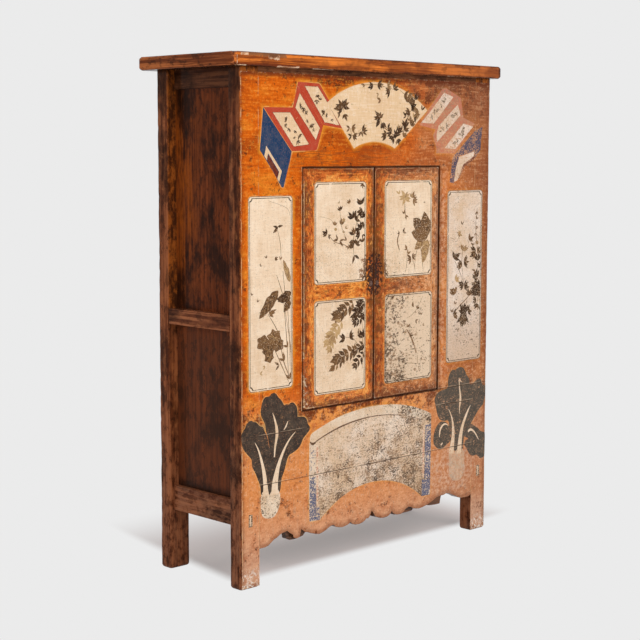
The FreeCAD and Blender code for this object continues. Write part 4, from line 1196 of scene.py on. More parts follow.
# Tufts on each field: across, up, heading in degrees, leaf length, leaves, shade from black 0 to ochre 1.
TUFTS = {
    "fan": [(-146, 1484, 175, 36, 3, 0.15), (-146, 1486, 45, 30, 3, 0.2), (-138, 1464, -70, 24, 3, 0.3),
        (-158, 1468, 215, 18, 2, 0.15), (-8, 1556, 185, 26, 3, 0.05), (12, 1562, -10, 26, 3, 0.1),
        (-46, 1557, 190, 18, 2, 0.45), (70, 1544, 205, 26, 3, 0.15), (92, 1545, 60, 24, 3, 0.25),
        (58, 1558, 0, 22, 3, 0.6), (18, 1530, 185, 14, 2, 0.6), (28, 1511, 185, 22, 2, 0.5),
        (138, 1530, -10, 26, 3, 0.35), (158, 1530, -35, 32, 3, 0.5), (150, 1508, 60, 24, 3, 0.4),
        (198, 1516, 100, 20, 3, 0.15), (178, 1490, 30, 26, 4, 0.05), (166, 1478, 200, 24, 4, 0.25),
        (212, 1474, 185, 30, 3, 0.5), (226, 1482, 60, 20, 2, 0.2), (150, 1462, 180, 20, 2, 0.2),
        (146, 1428, 95, 26, 4, 0.15), (170, 1434, 30, 26, 4, 0.4), (165, 1446, 100, 18, 2, 0.5),
        (98, 1398, 50, 28, 4, 0.05), (170, 1500, 20, 28, 3, 0.1), (190, 1468, 320, 26, 3, 0.15),
        (112, 1410, 60, 26, 3, 0.1), (78, 1404, 150, 24, 3, 0.15), (140, 1416, 40, 26, 3, 0.2),
        (184, 1500, 110, 22, 3, 0.25), (90, 1392, 215, 24, 4, 0.1), (112, 1388, -70, 20, 3, 0.25),
        (132, 1402, 5, 22, 3, 0.5), (125, 1414, 100, 20, 2, 0.4), (24, 1454, 185, 34, 3, 0.2),
        (24, 1454, 55, 20, 3, 0.3), (34, 1438, -60, 24, 4, 0.1), (60, 1420, 10, 22, 4, 0.2),
        (56, 1402, 190, 28, 3, 0.2), (-114, 1420, 190, 20, 2, 0.35), (-106, 1420, -5, 22, 3, 0.45),
        (-106, 1396, 190, 24, 2, 0.2), (-100, 1396, -20, 20, 3, 0.25), (-62, 1410, -95, 24, 2, 0.3),
        (-58, 1411, 15, 24, 3, 0.25), (110, 1424, 40, 16, 2, 0.7), (186, 1458, 60, 18, 2, 0.75)],
    "side_panel_left": [(-426, 1116, 5, 20, 1, 0.15), (-424, 1114, 190, 24, 2, 0.15),
        (-472, 1022, 110, 13, 2, 0.25), (-498, 998, 50, 10, 2, 0.3), (-438, 1018, 10, 14, 3, 0.4),
        (-414, 1014, 80, 14, 2, 0.5), (-534, 912, 60, 9, 2, 0.25), (-510, 890, 60, 9, 2, 0.25),
        (-384, 742, 130, 24, 2, 0.6), (-420, 688, 185, 20, 2, 0.3), (-398, 700, 130, 26, 2, 0.5),
        (-376, 640, 110, 26, 2, 0.5), (-462, 852, 10, 30, 3, 0.45), (-500, 668, 15, 16, 2, 0.85),
        (-478, 690, 200, 14, 2, 0.8)],
    "side_panel_right": [(439, 1094, 90, 15, 2, 0.3), (431, 1064, 190, 18, 3, 0.8),
        (424, 1062, 10, 18, 2, 0.8), (519, 1139, 250, 16, 2, 0.45), (514, 1112, 60, 16, 2, 0.5),
        (522, 1085, 200, 15, 2, 0.45), (508, 1062, 300, 16, 2, 0.45), (402, 975, 60, 32, 5, 0.25),
        (444, 1004, 60, 28, 3, 0.7), (440, 962, 200, 30, 4, 0.22), (450, 962, 10, 28, 4, 0.22),
        (514, 996, 180, 34, 4, 0.22), (522, 994, 40, 26, 3, 0.3), (500, 1020, 100, 16, 2, 0.4),
        (406, 904, 20, 24, 3, 0.85), (404, 854, 110, 32, 5, 0.35), (450, 882, 180, 28, 4, 0.12),
        (454, 880, 10, 28, 4, 0.12), (520, 905, 120, 32, 4, 0.12), (524, 880, 170, 32, 4, 0.12),
        (520, 846, 110, 34, 5, 0.1), (534, 866, 90, 34, 4, 0.08), (520, 830, 190, 26, 3, 0.2),
        (530, 812, 240, 24, 3, 0.25), (477, 845, 80, 26, 3, 0.35), (498, 858, 30, 22, 3, 0.3),
        (398, 786, 0, 26, 3, 0.25), (394, 792, 110, 20, 2, 0.3), (452, 784, 90, 38, 6, 0.08),
        (452, 780, 265, 40, 6, 0.08), (476, 1040, 40, 26, 3, 0.3), (528, 966, 100, 30, 4, 0.12),
        (474, 792, 10, 22, 3, 0.2), (536, 940, 100, 22, 3, 0.2), (512, 930, 200, 20, 2, 0.4),
        (404, 820, 60, 16, 2, 0.4)],
    "left_upper_panel": [(-214, 1086, 160, 26, 3, 0.05), (-208, 1082, 330, 16, 2, 0.1),
        (-166, 1066, 150, 26, 2, 0.25), (-158, 1062, -20, 26, 2, 0.3), (-157, 1158, 90, 18, 3, 0.3),
        (-153, 1114, 70, 20, 3, 0.4), (-178, 1112, 90, 16, 3, 0.55), (-132, 1100, 30, 12, 2, 0.7),
        (-115, 1180, 110, 16, 3, 0.45), (-158, 1184, 150, 12, 2, 0.7), (-98, 1132, 110, 28, 3, 0.1),
        (-90, 1130, 30, 24, 3, 0.15), (-60, 1176, 110, 26, 3, 0.1), (-54, 1156, 200, 26, 3, 0.15),
        (-54, 1132, 80, 28, 3, 0.05), (-50, 1120, 240, 22, 2, 0.1), (-62, 1094, 110, 28, 3, 0.1),
        (-66, 1086, 200, 26, 3, 0.15), (-52, 1080, 300, 18, 2, 0.2), (-92, 1080, 120, 26, 3, 0.2),
        (-96, 1064, 260, 26, 3, 0.2), (-104, 1036, 100, 22, 3, 0.35), (-90, 1014, 290, 30, 2, 0.15),
        (-116, 1042, 200, 16, 2, 0.5), (-80, 1044, 60, 22, 3, 0.25), (-56, 1054, 100, 20, 3, 0.25),
        (-58, 1236, 0, 12, 3, 0.25), (-56, 1240, 180, 12, 2, 0.4), (-146, 1090, 20, 12, 2, 0.6),
        (-126, 1064, 150, 18, 2, 0.3)],
    "left_lower_panel": [(-62, 848, 100, 26, 4, 0.05), (-54, 826, 130, 32, 4, 0.05),
        (-72, 838, 200, 30, 3, 0.1), (-50, 800, 70, 34, 4, 0.05), (-86, 820, 240, 26, 3, 0.2),
        (-132, 748, 180, 28, 3, 0.15), (-112, 752, 10, 24, 3, 0.2), (-72, 752, 60, 20, 2, 0.25),
        (-50, 742, 100, 30, 3, 0.15), (-90, 716, 30, 16, 2, 0.4), (-58, 700, 100, 26, 3, 0.15)],
    "right_upper_panel": [(120, 1206, 120, 18, 2, 0.95), (150, 1196, 185, 38, 3, 0.95),
        (146, 1192, 20, 30, 3, 0.85), (182, 1192, 75, 26, 3, 0.6), (186, 1184, -10, 24, 3, 0.5),
        (242, 1174, 60, 7, 3, 0.25), (144, 1140, 115, 18, 2, 0.45), (150, 1136, 310, 16, 2, 0.5),
        (122, 1078, 170, 14, 2, 0.35), (138, 1080, 20, 18, 2, 0.3), (160, 1022, 160, 20, 2, 0.6),
        (184, 994, 10, 22, 3, 0.3), (180, 990, 190, 22, 3, 0.4), (162, 1006, 60, 16, 2, 0.6)],
    "right_lower_panel": [(96, 862, 120, 12, 3, 0.3), (186, 830, 20, 14, 3, 0.45),
        (212, 818, 60, 12, 3, 0.4), (204, 780, 330, 14, 2, 0.4), (178, 728, 30, 18, 2, 0.3),
        (232, 796, 90, 12, 2, 0.5), (160, 742, 150, 14, 2, 0.5), (240, 760, 30, 12, 2, 0.5),
        (164, 760, 60, 16, 2, 0.35)],
}
# Long cut leaves: across, up, heading, length, width over length, pairs of leaflets, shade.
FRONDS = {
    "left_lower_panel": [(-92, 862, 207, 112, 0.46, 6, 0.36), (-118, 836, 190, 64, 0.46, 4, 0.3),
        (-146, 806, 224, 112, 0.46, 6, 0.9), (-166, 782, 240, 88, 0.44, 5, 0.86),
        (-78, 706, 194, 122, 0.4, 6, 0.34), (-116, 690, 206, 96, 0.36, 5, 0.45),
        (-44, 862, 225, 70, 0.56, 4, 0.08), (-42, 816, 205, 62, 0.56, 4, 0.12),
        (-44, 724, 205, 70, 0.5, 4, 0.16), (-42, 694, 222, 72, 0.56, 4, 0.08)],
    "side_panel_right": [(452, 806, 265, 62, 0.62, 4, 0.1), (530, 905, 240, 70, 0.6, 4, 0.16)],
}
# Broad leaves: across, up, heading, length, width over length, veins, shade.
BLADES = {
    "side_panel_left": [(-374, 944, 112, 76, 0.28, 4, 0.72), (-370, 912, 205, 62, 0.5, 4, 0.24),
        (-372, 894, 180, 58, 0.5, 4, 0.16), (-374, 886, 232, 44, 0.6, 3, 0.3),
        (-424, 920, 226, 114, 0.34, 7, 0.36)],
    "right_upper_panel": [(262, 1050, 252, 84, 0.44, 5, 0.76), (250, 1058, 216, 66, 0.5, 4, 0.68),
        (272, 1052, 282, 56, 0.5, 4, 0.5), (262, 1060, 168, 84, 0.62, 4, 0.42),
        (258, 1062, 138, 92, 0.66, 5, 0.26), (262, 1064, 104, 84, 0.62, 5, 0.36)],
}
# Rounded leaves and flowers: across, up, size, lobes, shade.
ROUNDS = {
    "side_panel_left": [(-488, 764, 56, 5, 0.4), (-464, 738, 54, 6, 0.34), (-440, 776, 60, 6, 0.5),
        (-424, 752, 50, 5, 0.36), (-462, 716, 40, 5, 0.4)],
    "left_upper_panel": [(-140, 1128, 16, 5, 0.8), (-176, 1100, 14, 5, 0.85)],
    "side_panel_right": [(519, 1030, 18, 5, 0.6), (528, 858, 46, 6, 0.2), (456, 782, 26, 5, 0.15)],
    "fan": [(182, 1486, 20, 5, 0.1), (96, 1396, 20, 5, 0.1)],
}
# Stems: points along each, then its width in millimetres.
STEMS = {
    "fan": [([(-140, 1470), (-150, 1486), (-180, 1488)], 2), ([(24, 1456), (36, 1430), (62, 1414),
        (96, 1396)], 3), ([(96, 1396), (130, 1412), (150, 1436), (160, 1470), (180, 1488), (160, 1520),
        (120, 1545)], 2.4), ([(-50, 1558), (8, 1560), (60, 1552), (96, 1546)], 2), ([(-112, 1420),
        (-100, 1396), (-60, 1410)], 2)],
    "side_panel_left": [([(-426, 1106), (-414, 1060), (-412, 1010)], 2), ([(-412, 740), (-398, 690),
        (-372, 640)], 3.4), ([(-440, 740), (-412, 690), (-380, 632)], 3), ([(-400, 880), (-388, 760),
        (-380, 640)], 2.6), ([(-466, 850), (-430, 800), (-400, 740)], 2.6), ([(-404, 980), (-398, 930),
        (-394, 890)], 2), ([(-430, 968), (-410, 920), (-398, 890)], 2.4), ([(-384, 860), (-376, 760),
        (-374, 680)], 2.4), ([(-396, 860), (-372, 740), (-368, 640)], 2), ([(-460, 1196), (-390, 1174),
        (-374, 1150)], 1)],
    "side_panel_right": [([(394, 786), (430, 812), (476, 842), (524, 880)], 3.4), ([(444, 1005),
        (440, 960), (452, 880)], 2.4), ([(519, 1150), (512, 1080), (522, 1000), (526, 900)], 2.4),
        ([(452, 780), (470, 830)], 3), ([(402, 971), (424, 940), (446, 900)], 2.4), ([(378, 1052),
        (400, 1046)], 1.6), ([(530, 900), (534, 860), (520, 800)], 3)],
    "left_upper_panel": [([(-210, 1086), (-180, 1060), (-140, 1050), (-104, 1034)], 2.4), ([(-92, 1010),
        (-96, 1060), (-80, 1120), (-62, 1170)], 2.4), ([(-157, 1158), (-150, 1110), (-130, 1070)], 1.6),
        ([(-244, 1142), (-200, 1132), (-170, 1108)], 0.9)],
    "left_lower_panel": [([(-52, 640), (-50, 720), (-54, 800)], 2.4), ([(-130, 750), (-90, 740),
        (-60, 700)], 1.6)],
    "right_upper_panel": [([(146, 1188), (148, 1150), (152, 1128)], 3), ([(122, 1080), (112, 1052),
        (122, 1020)], 5.5), ([(214, 1090), (228, 1020), (240, 950)], 3), ([(160, 1020), (158, 970),
        (150, 945)], 2), ([(186, 990), (196, 965), (200, 945)], 2), ([(226, 1050), (206, 1010),
        (196, 960)], 2)],
    "right_lower_panel": [([(240, 860), (212, 820), (186, 800), (160, 790)], 1.6), ([(160, 752),
        (176, 734), (196, 700), (208, 668)], 6), ([(206, 690), (214, 660), (216, 630)], 2), ([(150, 640),
        (214, 632)], 1.6)],
}


def sprigs(name, seed):
    """All the brush strokes on one field."""
    chance = random.Random(seed)
    shapes = []
    for points, width in STEMS.get(name, ()):
        shapes.append((stroke(points, (width * 0.6, width, width * 0.5)), 0.30 + chance.uniform(0, 0.25)))
    for draw, kind in ((frond, FRONDS), (blade, BLADES)):
        for plant in kind.get(name, ()):
            shapes += draw(chance, *plant)
    for x, z, size, lobes, shade in ROUNDS.get(name, ()):
        shapes += rosette(chance, x, z, size, lobes, shade)
    for x, z, heading, size, count, shade in TUFTS[name]:
        shapes += tuft(chance, x, z, heading, size, count, shade)
    return cut_at_border(shapes, *PANELS[name][1:]) if name in PANELS else shapes


def cut_at_border(shapes, x0, x1, z0, z1, inset=4):
    """Shapes cut off along the border of a panel. One that is mostly outside is left out."""
    kept = []
    for outline, shade in shapes:
        cut = [(min(max(x, x0 + inset), x1 - inset), min(max(z, z0 + inset), z1 - inset)) for x, z in outline]
        if sum(near == far for near, far in zip(cut, outline)) > 0.55 * len(outline):
            kept.append((cut, shade))
    return kept


def twigs(seed, outline, count=30, margin=14):
    """Small dark plant strokes scattered over one album leaf, away from its edges."""
    chance = random.Random(seed)
    xs, zs = zip(*outline)
    shapes = []
    while len(shapes) < count:
        x, z = chance.uniform(min(xs), max(xs)), chance.uniform(min(zs), max(zs))
        if distances([(x, z)], [outline])[0] < -margin:
            shapes += tuft(chance, x, z, chance.uniform(0, 360), chance.uniform(8, 14), 3, 0.15, 80)
    return shapes


# Operators.

class CABINET_OT_finishes(bpy.types.Operator):
    """Prepare the shared lacquer, cream and wood, and finish every solid of the frame"""
    bl_idname = "cabinet.finishes"
    bl_label = "Finish the frame"

    def execute(self, context):
        tints = context.scene.cabinet_finishes
        build_seam_group()
        build_lacquer_group(tints)
        build_cream_group(tints)
        build_hand_group()
        build_wood_group()
        for order in ("YZX", "XZY", "XYZ"):
            stained(f"Stained wood {order[-1]}", order, blotched=0.35)
            bare(f"Bare wood {order[-1]}", order)
        stained("Stained panel", "XYZ", tone(74, 33, 15), tone(134, 66, 32), 0.6, panel=True)
        stained("Stained post", "XYZ", tone(98, 49, 28), tone(156, 92, 58), 0.6, 0.9)
        stained("Stained rail", "XZY", tone(100, 52, 32), tone(166, 102, 68), 0.45)
        stained("Stained top", "XZY", blotched=0.35, ends=(tone(112, 55, 28), tone(186, 106, 58)))
        stained("Stained frieze", "YZX", tone(136, 76, 46), tone(200, 128, 84), 0.5)
        finish_material("Iron", iron_shade, specular=0.5, metallic=0.6)
        for name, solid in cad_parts.items():
            solid.data.materials.clear()
            solid.data.materials.append(bpy.data.materials[finish_of(name)])
            weld = solid.modifiers.new("Join facets", "WELD")
            weld.merge_threshold = 0.01 * MM
            bevel = solid.modifiers.new("Eased edges", "BEVEL")
            bevel.width = context.scene.cabinet_sizes.rail_edge * (0.3 if name.endswith("stud") else 1)
            bevel.segments = 2
            bevel.limit_method = "ANGLE"
            bevel.angle_limit = math.radians(40)
        return {"FINISHED"}


def iron_shade(mixer):
    """Old iron, brown with rust in its hollows."""
    tints = bpy.context.scene.cabinet_finishes
    rust = noise(mixer.place()[0], 0.003, 5, 0.7)
    return {"colour": mix(ease(rust, 0.4, 0.65), tints.iron, tone(70, 40, 28)),
            "roughness": ease(rust, 0.1, 0.9, 0.8), "height": rust}


def finish_of(name):
    """The material of a solid of the frame."""
    if name.endswith("stud"):
        return "Iron"
    if name.startswith("tenon_wedge"):
        return "Bare wood Z"
    if name.startswith(("left_", "right_")):
        return "Stained wood Z" if "stile" in name or "panel" in name else "Stained wood X"
    if name.startswith(("lintel", "sill_rail", "shelf", "floor")):
        return "Bare wood X"
    if name.startswith("side_panel"):
        return "Stained panel"
    if name.startswith("post"):
        return "Stained post"
    if name.startswith(("rear_board", "face_board")):
        return "Stained wood Z"
    if name.startswith("side"):
        return "Stained rail"
    if name == "frieze_board":
        return "Stained frieze"
    if name in ("top_frame_left", "top_frame_right"):
        return "Stained top"
    return "Stained wood X"


class CABINET_OT_posts(bpy.types.Operator):
    """Replace the four posts with worn ones"""
    bl_idname = "cabinet.posts"
    bl_label = "Posts"

    def execute(self, context):
        edge = context.scene.cabinet_sizes.post_edge / MM
        for end in ("front", "rear"):
            for side in SIDES:
                node = f"post_{end}_{side}"
                low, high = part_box(node)
                outer, inner = edge, 1.2
                # Corners turn from low x and low y: front left, front right, rear right, rear left.
                edges = (outer, inner, inner, outer) if side == "left" else (inner, outer, outer, inner)
                if end == "rear":
                    edges = [e * 1.6 for e in edges]
                worn_bar(node, low, high, 2, bpy.data.materials["Stained post"], edges, (9, 0.6))
        return {"FINISHED"}


class CABINET_OT_top(bpy.types.Operator):
    """Replace the frame of the top with worn mitred members, and add its chips"""
    bl_idname = "cabinet.top"
    bl_label = "Top"

    def execute(self, context):
        edge = context.scene.cabinet_sizes.top_edge / MM
        width, corner, sink = 105 * MM, 14 * MM, 9 * MM
        low, high = CAD_BOX
        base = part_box("top_frame_front")[0].z
        lacquered_top("Lacquered top edge")
        looks = {"front": "Lacquered top edge", "rear": "Stained wood X", "left": "Stained top",
                 "right": "Stained top"}
        for place, look in looks.items():
            node = f"top_frame_{place}"
            near, far = Vector((low.x, low.y, base)), Vector((high.x, high.y, high.z))
            along = 0 if place in ("front", "rear") else 1
            if place == "front":
                far.y = near.y + width
            elif place == "rear":
                near.y = far.y - width
            elif place == "left":
                far.x = near.x + width
            else:
                near.x = far.x - width
            outer_low = place in ("front", "left")
            edges = (edge, 0.8, 0.8, edge) if outer_low else (0.8, edge, edge, 0.8)
            piece = worn_bar(node, near, far, along, bpy.data.materials[look], edges, (0.2, 0.2),
                             mitre=1.0 if outer_low else -1.0, rub=0.35)
            round_corners(piece, Vector((low.x, low.y, base)), high, corner, sink)
        return {"FINISHED"}


def round_corners(piece, low, high, radius, sink):
    """Round a piece to the corners of a slab seen from above, and thin it towards those corners."""
    shape = bmesh.new()
    shape.from_mesh(piece.data)
    for axis, inset in ((axis, inset) for axis in (0, 1) for inset in (0.25 * radius, 0.6 * radius, radius)):
        for place in (low[axis] + inset, high[axis] - inset):
            parts = [*shape.verts, *shape.edges, *shape.faces]
            across = Vector((1 - axis, axis, 0))
            bmesh.ops.bisect_plane(shape, geom=parts, dist=1e-6, plane_co=across * place, plane_no=across)
    for point in shape.verts:
        x, y, z = point.co
        mx = min(max(x, low.x + radius), high.x - radius)
        my = min(max(y, low.y + radius), high.y - radius)
        if x != mx and y != my:
            away = math.hypot(x - mx, y - my)
            share = min(away / radius, 1)
            if away > radius:
                x, y = mx + (x - mx) * radius / away, my + (y - my) * radius / away
            drop = sink * (1 - math.sqrt(1 - share * share))
            point.co = (x, y, min(max(z, low.z + drop), high.z - drop))
    shape.to_mesh(piece.data)
    shape.free()


class CABINET_OT_apron(bpy.types.Operator):
    """Replace the apron with one whose face has lost some of its lobes"""
    bl_idname = "cabinet.apron"
    bl_label = "Apron"

    def execute(self, context):
        low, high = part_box("apron_board")
        top = high.z / MM
        made = ([], [], [])
        middle = low.y + BROKEN * MM
        slab(made, [*APRON_EDGE, (INSIDE, top), (-INSIDE, top)], low.y, middle)
        slab(made, [*APRON_BACK_EDGE, (INSIDE, top), (-INSIDE, top)], middle, high.y)
        broken = bare("Broken wood", "YZX", tone(58, 34, 22), tone(116, 72, 44))
        add_piece("worn_apron", made[0], made[1], "cabinet", broken,
                  stands_for=("apron_board",))
        return {"FINISHED"}


# The sheets of lacquered cloth on the fixed front, in millimetres: across, up, and their free edges.
SHEETS = {
    "post_left": ((-577, -INSIDE), (4, 1584), "ltb"),
    "post_right": ((INSIDE, 577), (4, 1584), "rtb"),
    "frieze": ((-503.4, 503.4), (1297.4, 1584), "t"),
    "face_left": ((-503.4, -320.5), (532.4, 1296.8), "r"),
    "face_right": ((320.5, 503.4), (532.4, 1296.8), "l"),
    "sill": ((-503.4, 503.4), (475.4, 531.8), ""),
    "lower": ((-503.4, 503.4), (319.3, 474.8), ""),
}


class CABINET_OT_ground(bpy.types.Operator):
    """Lay the lacquered cloth over the front boards and the doors"""
    bl_idname = "cabinet.ground"
    bl_label = "Lacquered ground"

    def execute(self, context):
        fixed, door = lacquered("Lacquered front"), lacquered("Lacquered doors", hands=True, frame_share=1.0)
        motifs = front_motifs()
        for name, (x, z, free) in SHEETS.items():
            ground_sheet(f"ground_{name}", x, z, fixed, free=free, motifs=motifs)
        ground_sheet("ground_apron", (-503.4, 503.4), (160, 318.8), lacquered("Lacquered apron", rim=0.1),
                     free="b", lower=APRON_EDGE, motifs=motifs)
        for side, sign in SIDES.items():
            x = sorted((sign * 2.2, sign * 317.2))
            fields = [panel_field(name) for name in PANELS if name.startswith(side)]
            ground_sheet(f"{side}_door_ground", x, (534.6, 1294.6), door, f"{side}_door", "lrtb",
                         motifs=fields, corner=6, bend=eased_edge)
        return {"FINISHED"}


def eased_edge(x):
    """How far the door's rounded hinge edge falls back at a place across, in millimetres."""
    start, radius = 310.5, 8.0
    beyond = min(abs(x) - start, radius - 0.1)
    return radius - math.sqrt(radius ** 2 - beyond ** 2) if beyond > 0 else 0.0


class CABINET_OT_tenons(bpy.types.Operator):
    """Show the side rails' tenons with their wedges through the lacquer of the front legs"""
    bl_idname = "cabinet.tenons"
    bl_label = "Tenon ends"

    def execute(self, context):
        ends, wedges = [], []
        for side in SIDES:
            low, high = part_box(f"tenon_wedge_{side}")
            middle, foot, top = (low.x + high.x) / 2 / MM, low.z / MM, high.z / MM
            end = [(middle - 8, foot), (middle - 7, top), (middle + 8, top - 1), (middle + 8, foot + 1)]
            ends.append((end, 0.1))
            wedges.append([(middle - 2, foot + 3), (middle - 3, top - 4), (middle + 2, top - 3),
                           (middle + 1, foot + 4)])
        tints = context.scene.cabinet_finishes
        paint("tenon_ends", ends, 0.6, leafy("Cracked lacquer", 0.45))
        paint("wedge_ends", wedges, 1.2, painted("Wedge end", tints.chalk, 0.35, flat=True))
        return {"FINISHED"}


class CABINET_OT_panels(bpy.types.Operator):
    """Paint the cream panels of the sides and the doors, with their border lines"""
    bl_idname = "cabinet.panels"
    bl_label = "Cream panels"

    def execute(self, context):
        tints = context.scene.cabinet_finishes
        wear = {
            "side_panel_left": dict(wear=0.05, soil=0.25),
            "side_panel_right": dict(wear=0.26, soil=0.7, slope=(0.4, -0.20), middle=(0.45, 0.95), uneven=0.3,
                                     foot=(0.86, 0.68, tone(208, 178, 152))),
            "left_upper_panel": dict(wear=0.10, soil=0.25, slope=(0.3, -0.9), middle=(-0.15, 1.12),
                                     hands=True, uneven=0.2),
            "left_lower_panel": dict(wear=0.12, soil=0.5),
            "right_upper_panel": dict(wear=0.12, soil=0.25, slope=(-0.8, -1.0), middle=(0.15, 1.08),
                                      hands=True),
            "right_lower_panel": dict(wear=0.44, soil=0.8, slope=(-1.3, -0.4), middle=(0.16, 0.74),
                                      size=0.0065, uneven=0.16, scuffs=0.3, sooty=(0.44, 0.60),
                                      foot=(0.90, 0.80, tone(226, 200, 172))),
        }
        dark = painted("Border line", tone(48, 36, 28), 0.22, over="cream", size=0.012, flat=True)
        for name, settings in wear.items():
            body = PANELS[name][0]
            tint = tints.grey if name == "side_panel_right" else tints.cream
            cream = painted(f"Cream {name}", tint, over="soot", **settings)
            paint(name, [panel_field(name)], 1, cream, body)
            bands = [(panel_field(name, 0.2), panel_field(name, 1.7, 12)),
                     (panel_field(name, 5.0, 9, True), panel_field(name, 7.2, 10.2, True))]
            paint(f"{name}_lines", [], 1.5, dark, body, bands)
        return {"FINISHED"}


class CABINET_OT_albums(bpy.types.Operator):
    """Paint the two folded albums beside the fan"""
    bl_idname = "cabinet.albums"
    bl_label = "Folded albums"

    def execute(self, context):
        tints = context.scene.cabinet_finishes
        left = dict(album=ALBUM_LEFT, wear=0.16, faded=0.4, soil=0.5, ink=leafy("Album ink", 0.2),
                    page=tints.warm, border=tints.red, look={"size": 0.006})
        right = dict(album=ALBUM_RIGHT, wear=0.52, faded=0.95, soil=0.7, ink=leafy("Worn album ink", 0.45),
                     page=tone(228, 206, 190), border=tone(194, 112, 86),
                     look={"uneven": 0.35, "spread": (0.022, (1, 1, 1)), "size": 0.0045, "scuffs": 0.7})
        for side, kind in (("left", left), ("right", right)):
            album, wear = kind["album"], kind["wear"]
            worn = dict(flat=True, fibres=0.10, **kind["look"])
            cream = painted(f"Album cream {side}", kind["page"], wear * 0.8, soil=kind["soil"])
            line = painted(f"Album line {side}", tone(96, 44, 34), wear + 0.2, over="cream", flat=True)
            blue = painted(f"Album blue {side}", tints.blue, wear * kind["faded"], **worn)
            red = painted(f"Album red {side}", kind["border"], wear * 1.05, **worn)
            tab = painted(f"Album tab {side}", tone(92, 34, 26), wear, **worn)
            folds = [stroke((a, b), (1.2, 1.2), 1) for page in album["leaves"]
                     for a, b in zip(page, page[1:] + page[:1])]
            marks = [shape for seed, page in enumerate(album["leaves"], 3) for shape in twigs(seed, page)]
            for part, shapes, level, look in (
                    ("cover", album["cover"], 1, blue), ("borders", album["borders"], 1.2, red),
                    ("leaves", album["leaves"], 2.4, cream), ("slip", album["slip"], 2.4, cream),
                    ("tab", album["tab"], 2.2, tab), ("folds", folds, 3.2, line),
                    ("twigs", marks, 3.4, kind["ink"])):
                paint(f"album_{part}_{side}", shapes, level, look)
        return {"FINISHED"}


class CABINET_OT_fan(bpy.types.Operator):
    """Paint the fan over the doors"""
    bl_idname = "cabinet.fan"
    bl_label = "Fan"

    def execute(self, context):
        tints = context.scene.cabinet_finishes
        paint("fan_field", [FAN], 4.4, painted("Fan cream", tints.warm, 0.04, soil=0.35))
        fine = painted("Fan line", tone(170, 132, 92), 0.4, over="cream", flat=True)
        paint("fan_inner_line", [stroke(arc((0, 1330), 108, 155, 25, 12), (1.2, 1.2, 1.2), 2)], 4.8, fine)
        return {"FINISHED"}


class CABINET_OT_scroll(bpy.types.Operator):
    """Paint the hanging scroll under the doors"""
    bl_idname = "cabinet.scroll"
    bl_label = "Hand scroll"

    def execute(self, context):
        paper = painted("Scroll cream", tone(246, 229, 213), 0.47, over="soot", soil=1.0, sooty=(0.38, 0.60),
                        slope=(0.30, -1.1), middle=(0, 0.36), size=0.0050, uneven=0.45,
                        spread=(0.04, (1.3, 1, 1.1)))
        paint("scroll_paper", [SCROLL], 1, paper)
        for place, ends, gone in (("lower", SCROLL_ENDS[:-1], 0.50), ("upper", SCROLL_ENDS[-1:], 0.84)):
            paint(f"scroll_ends_{place}", ends, 1.4, painted(
                f"Scroll blue {place}", tone(62, 76, 112), gone, over="cream", size=0.006, flat=True))
        tape = painted("Scroll tape", tone(196, 130, 106), 0.6, over="cream", flat=True)
        paint("scroll_tapes", SCROLL_TAPES, 1.4, tape)
        roller = painted("Roller cream", tone(232, 212, 190), 0.30, over="soot", soil=0.7, slope=(1.3, 0),
                         uneven=0.5)
        paint("scroll_roller", [ROLLER], 2, roller)
        rim = [stroke(arc((0, -240), 716, 111.5, 90, 20), (3.6, 4.6, 3.4), 2),
               stroke(arc((0, -240), 716, 90, 71, 20), (3.4, 2.0, 1.6), 2),
               stroke([(-287, 428), (-276, 420), (-262, 424)], (4, 9, 5), 3)]
        line = painted("Scroll line", tone(92, 64, 46), 0.25, over="cream", flat=True, slope=(0.5, 0))
        paint("scroll_lines", rim, 2.6, line)
        return {"FINISHED"}


class CABINET_OT_cabbages(bpy.types.Operator):
    """Paint the two cabbages at the foot of the front"""
    bl_idname = "cabinet.cabbages"
    bl_label = "Cabbages"

    def execute(self, context):
        tints = context.scene.cabinet_finishes
        plants = {
            "left": ([CABBAGE_LEFT], CABBAGE_LEFT_RIBS, CABBAGE_LEFT_BULB, 0.05, tints.leaf, 0.44),
            "right": ([CABBAGE_RIGHT, CURL_LEFT, CURL_RIGHT], CABBAGE_RIGHT_RIBS, CABBAGE_RIGHT_BULB, 0.26,
                      tone(76, 70, 62), 0.60),
        }
        for side, (leaves, ribs, bulb, wear, dark, gone) in plants.items():
            green = painted(f"Cabbage leaf {side}", dark, wear, size=0.008, flat=True)
            paint(f"cabbage_leaves_{side}", [drawn(outline) for outline in leaves], 1, green)
            cream = painted(f"Cabbage rib {side}", tints.cream, wear + 0.1, soil=0.5)
            paint(f"cabbage_ribs_{side}", [stroke(*rib) for rib in ribs], 1.8, cream)
            paint(f"cabbage_bulb_{side}", [drawn(bulb)], 1.6, painted(
                f"Cabbage bulb {side}", tone(244, 222, 196) if side == "left" else tone(172, 156, 144), gone,
                over="soot" if side == "left" else "lacquer", slope=(0, -1.8), middle=(0, 0.26), uneven=0.3,
                soil=0.6, size=0.006, spread=(0.03, (1, 1, 1))))
        return {"FINISHED"}


class CABINET_OT_sprigs(bpy.types.Operator):
    """Paint plain leafy sprigs on the fan and on each cream panel"""
    bl_idname = "cabinet.sprigs"
    bl_label = "Sprigs"

    def execute(self, context):
        strokes = {"left": leafy("Brush strokes", 0.08), "right": leafy("Worn brush strokes", 0.18)}
        for seed, name in enumerate(TUFTS, start=11):
            body = PANELS[name][0] if name in PANELS else "cabinet"
            level = 5.0 if name == "fan" else 1.8
            look = strokes["right" if "right" in name else "left"]
            paint(f"sprigs_{name}", sprigs(name, seed), level, look, body)
        return {"FINISHED"}


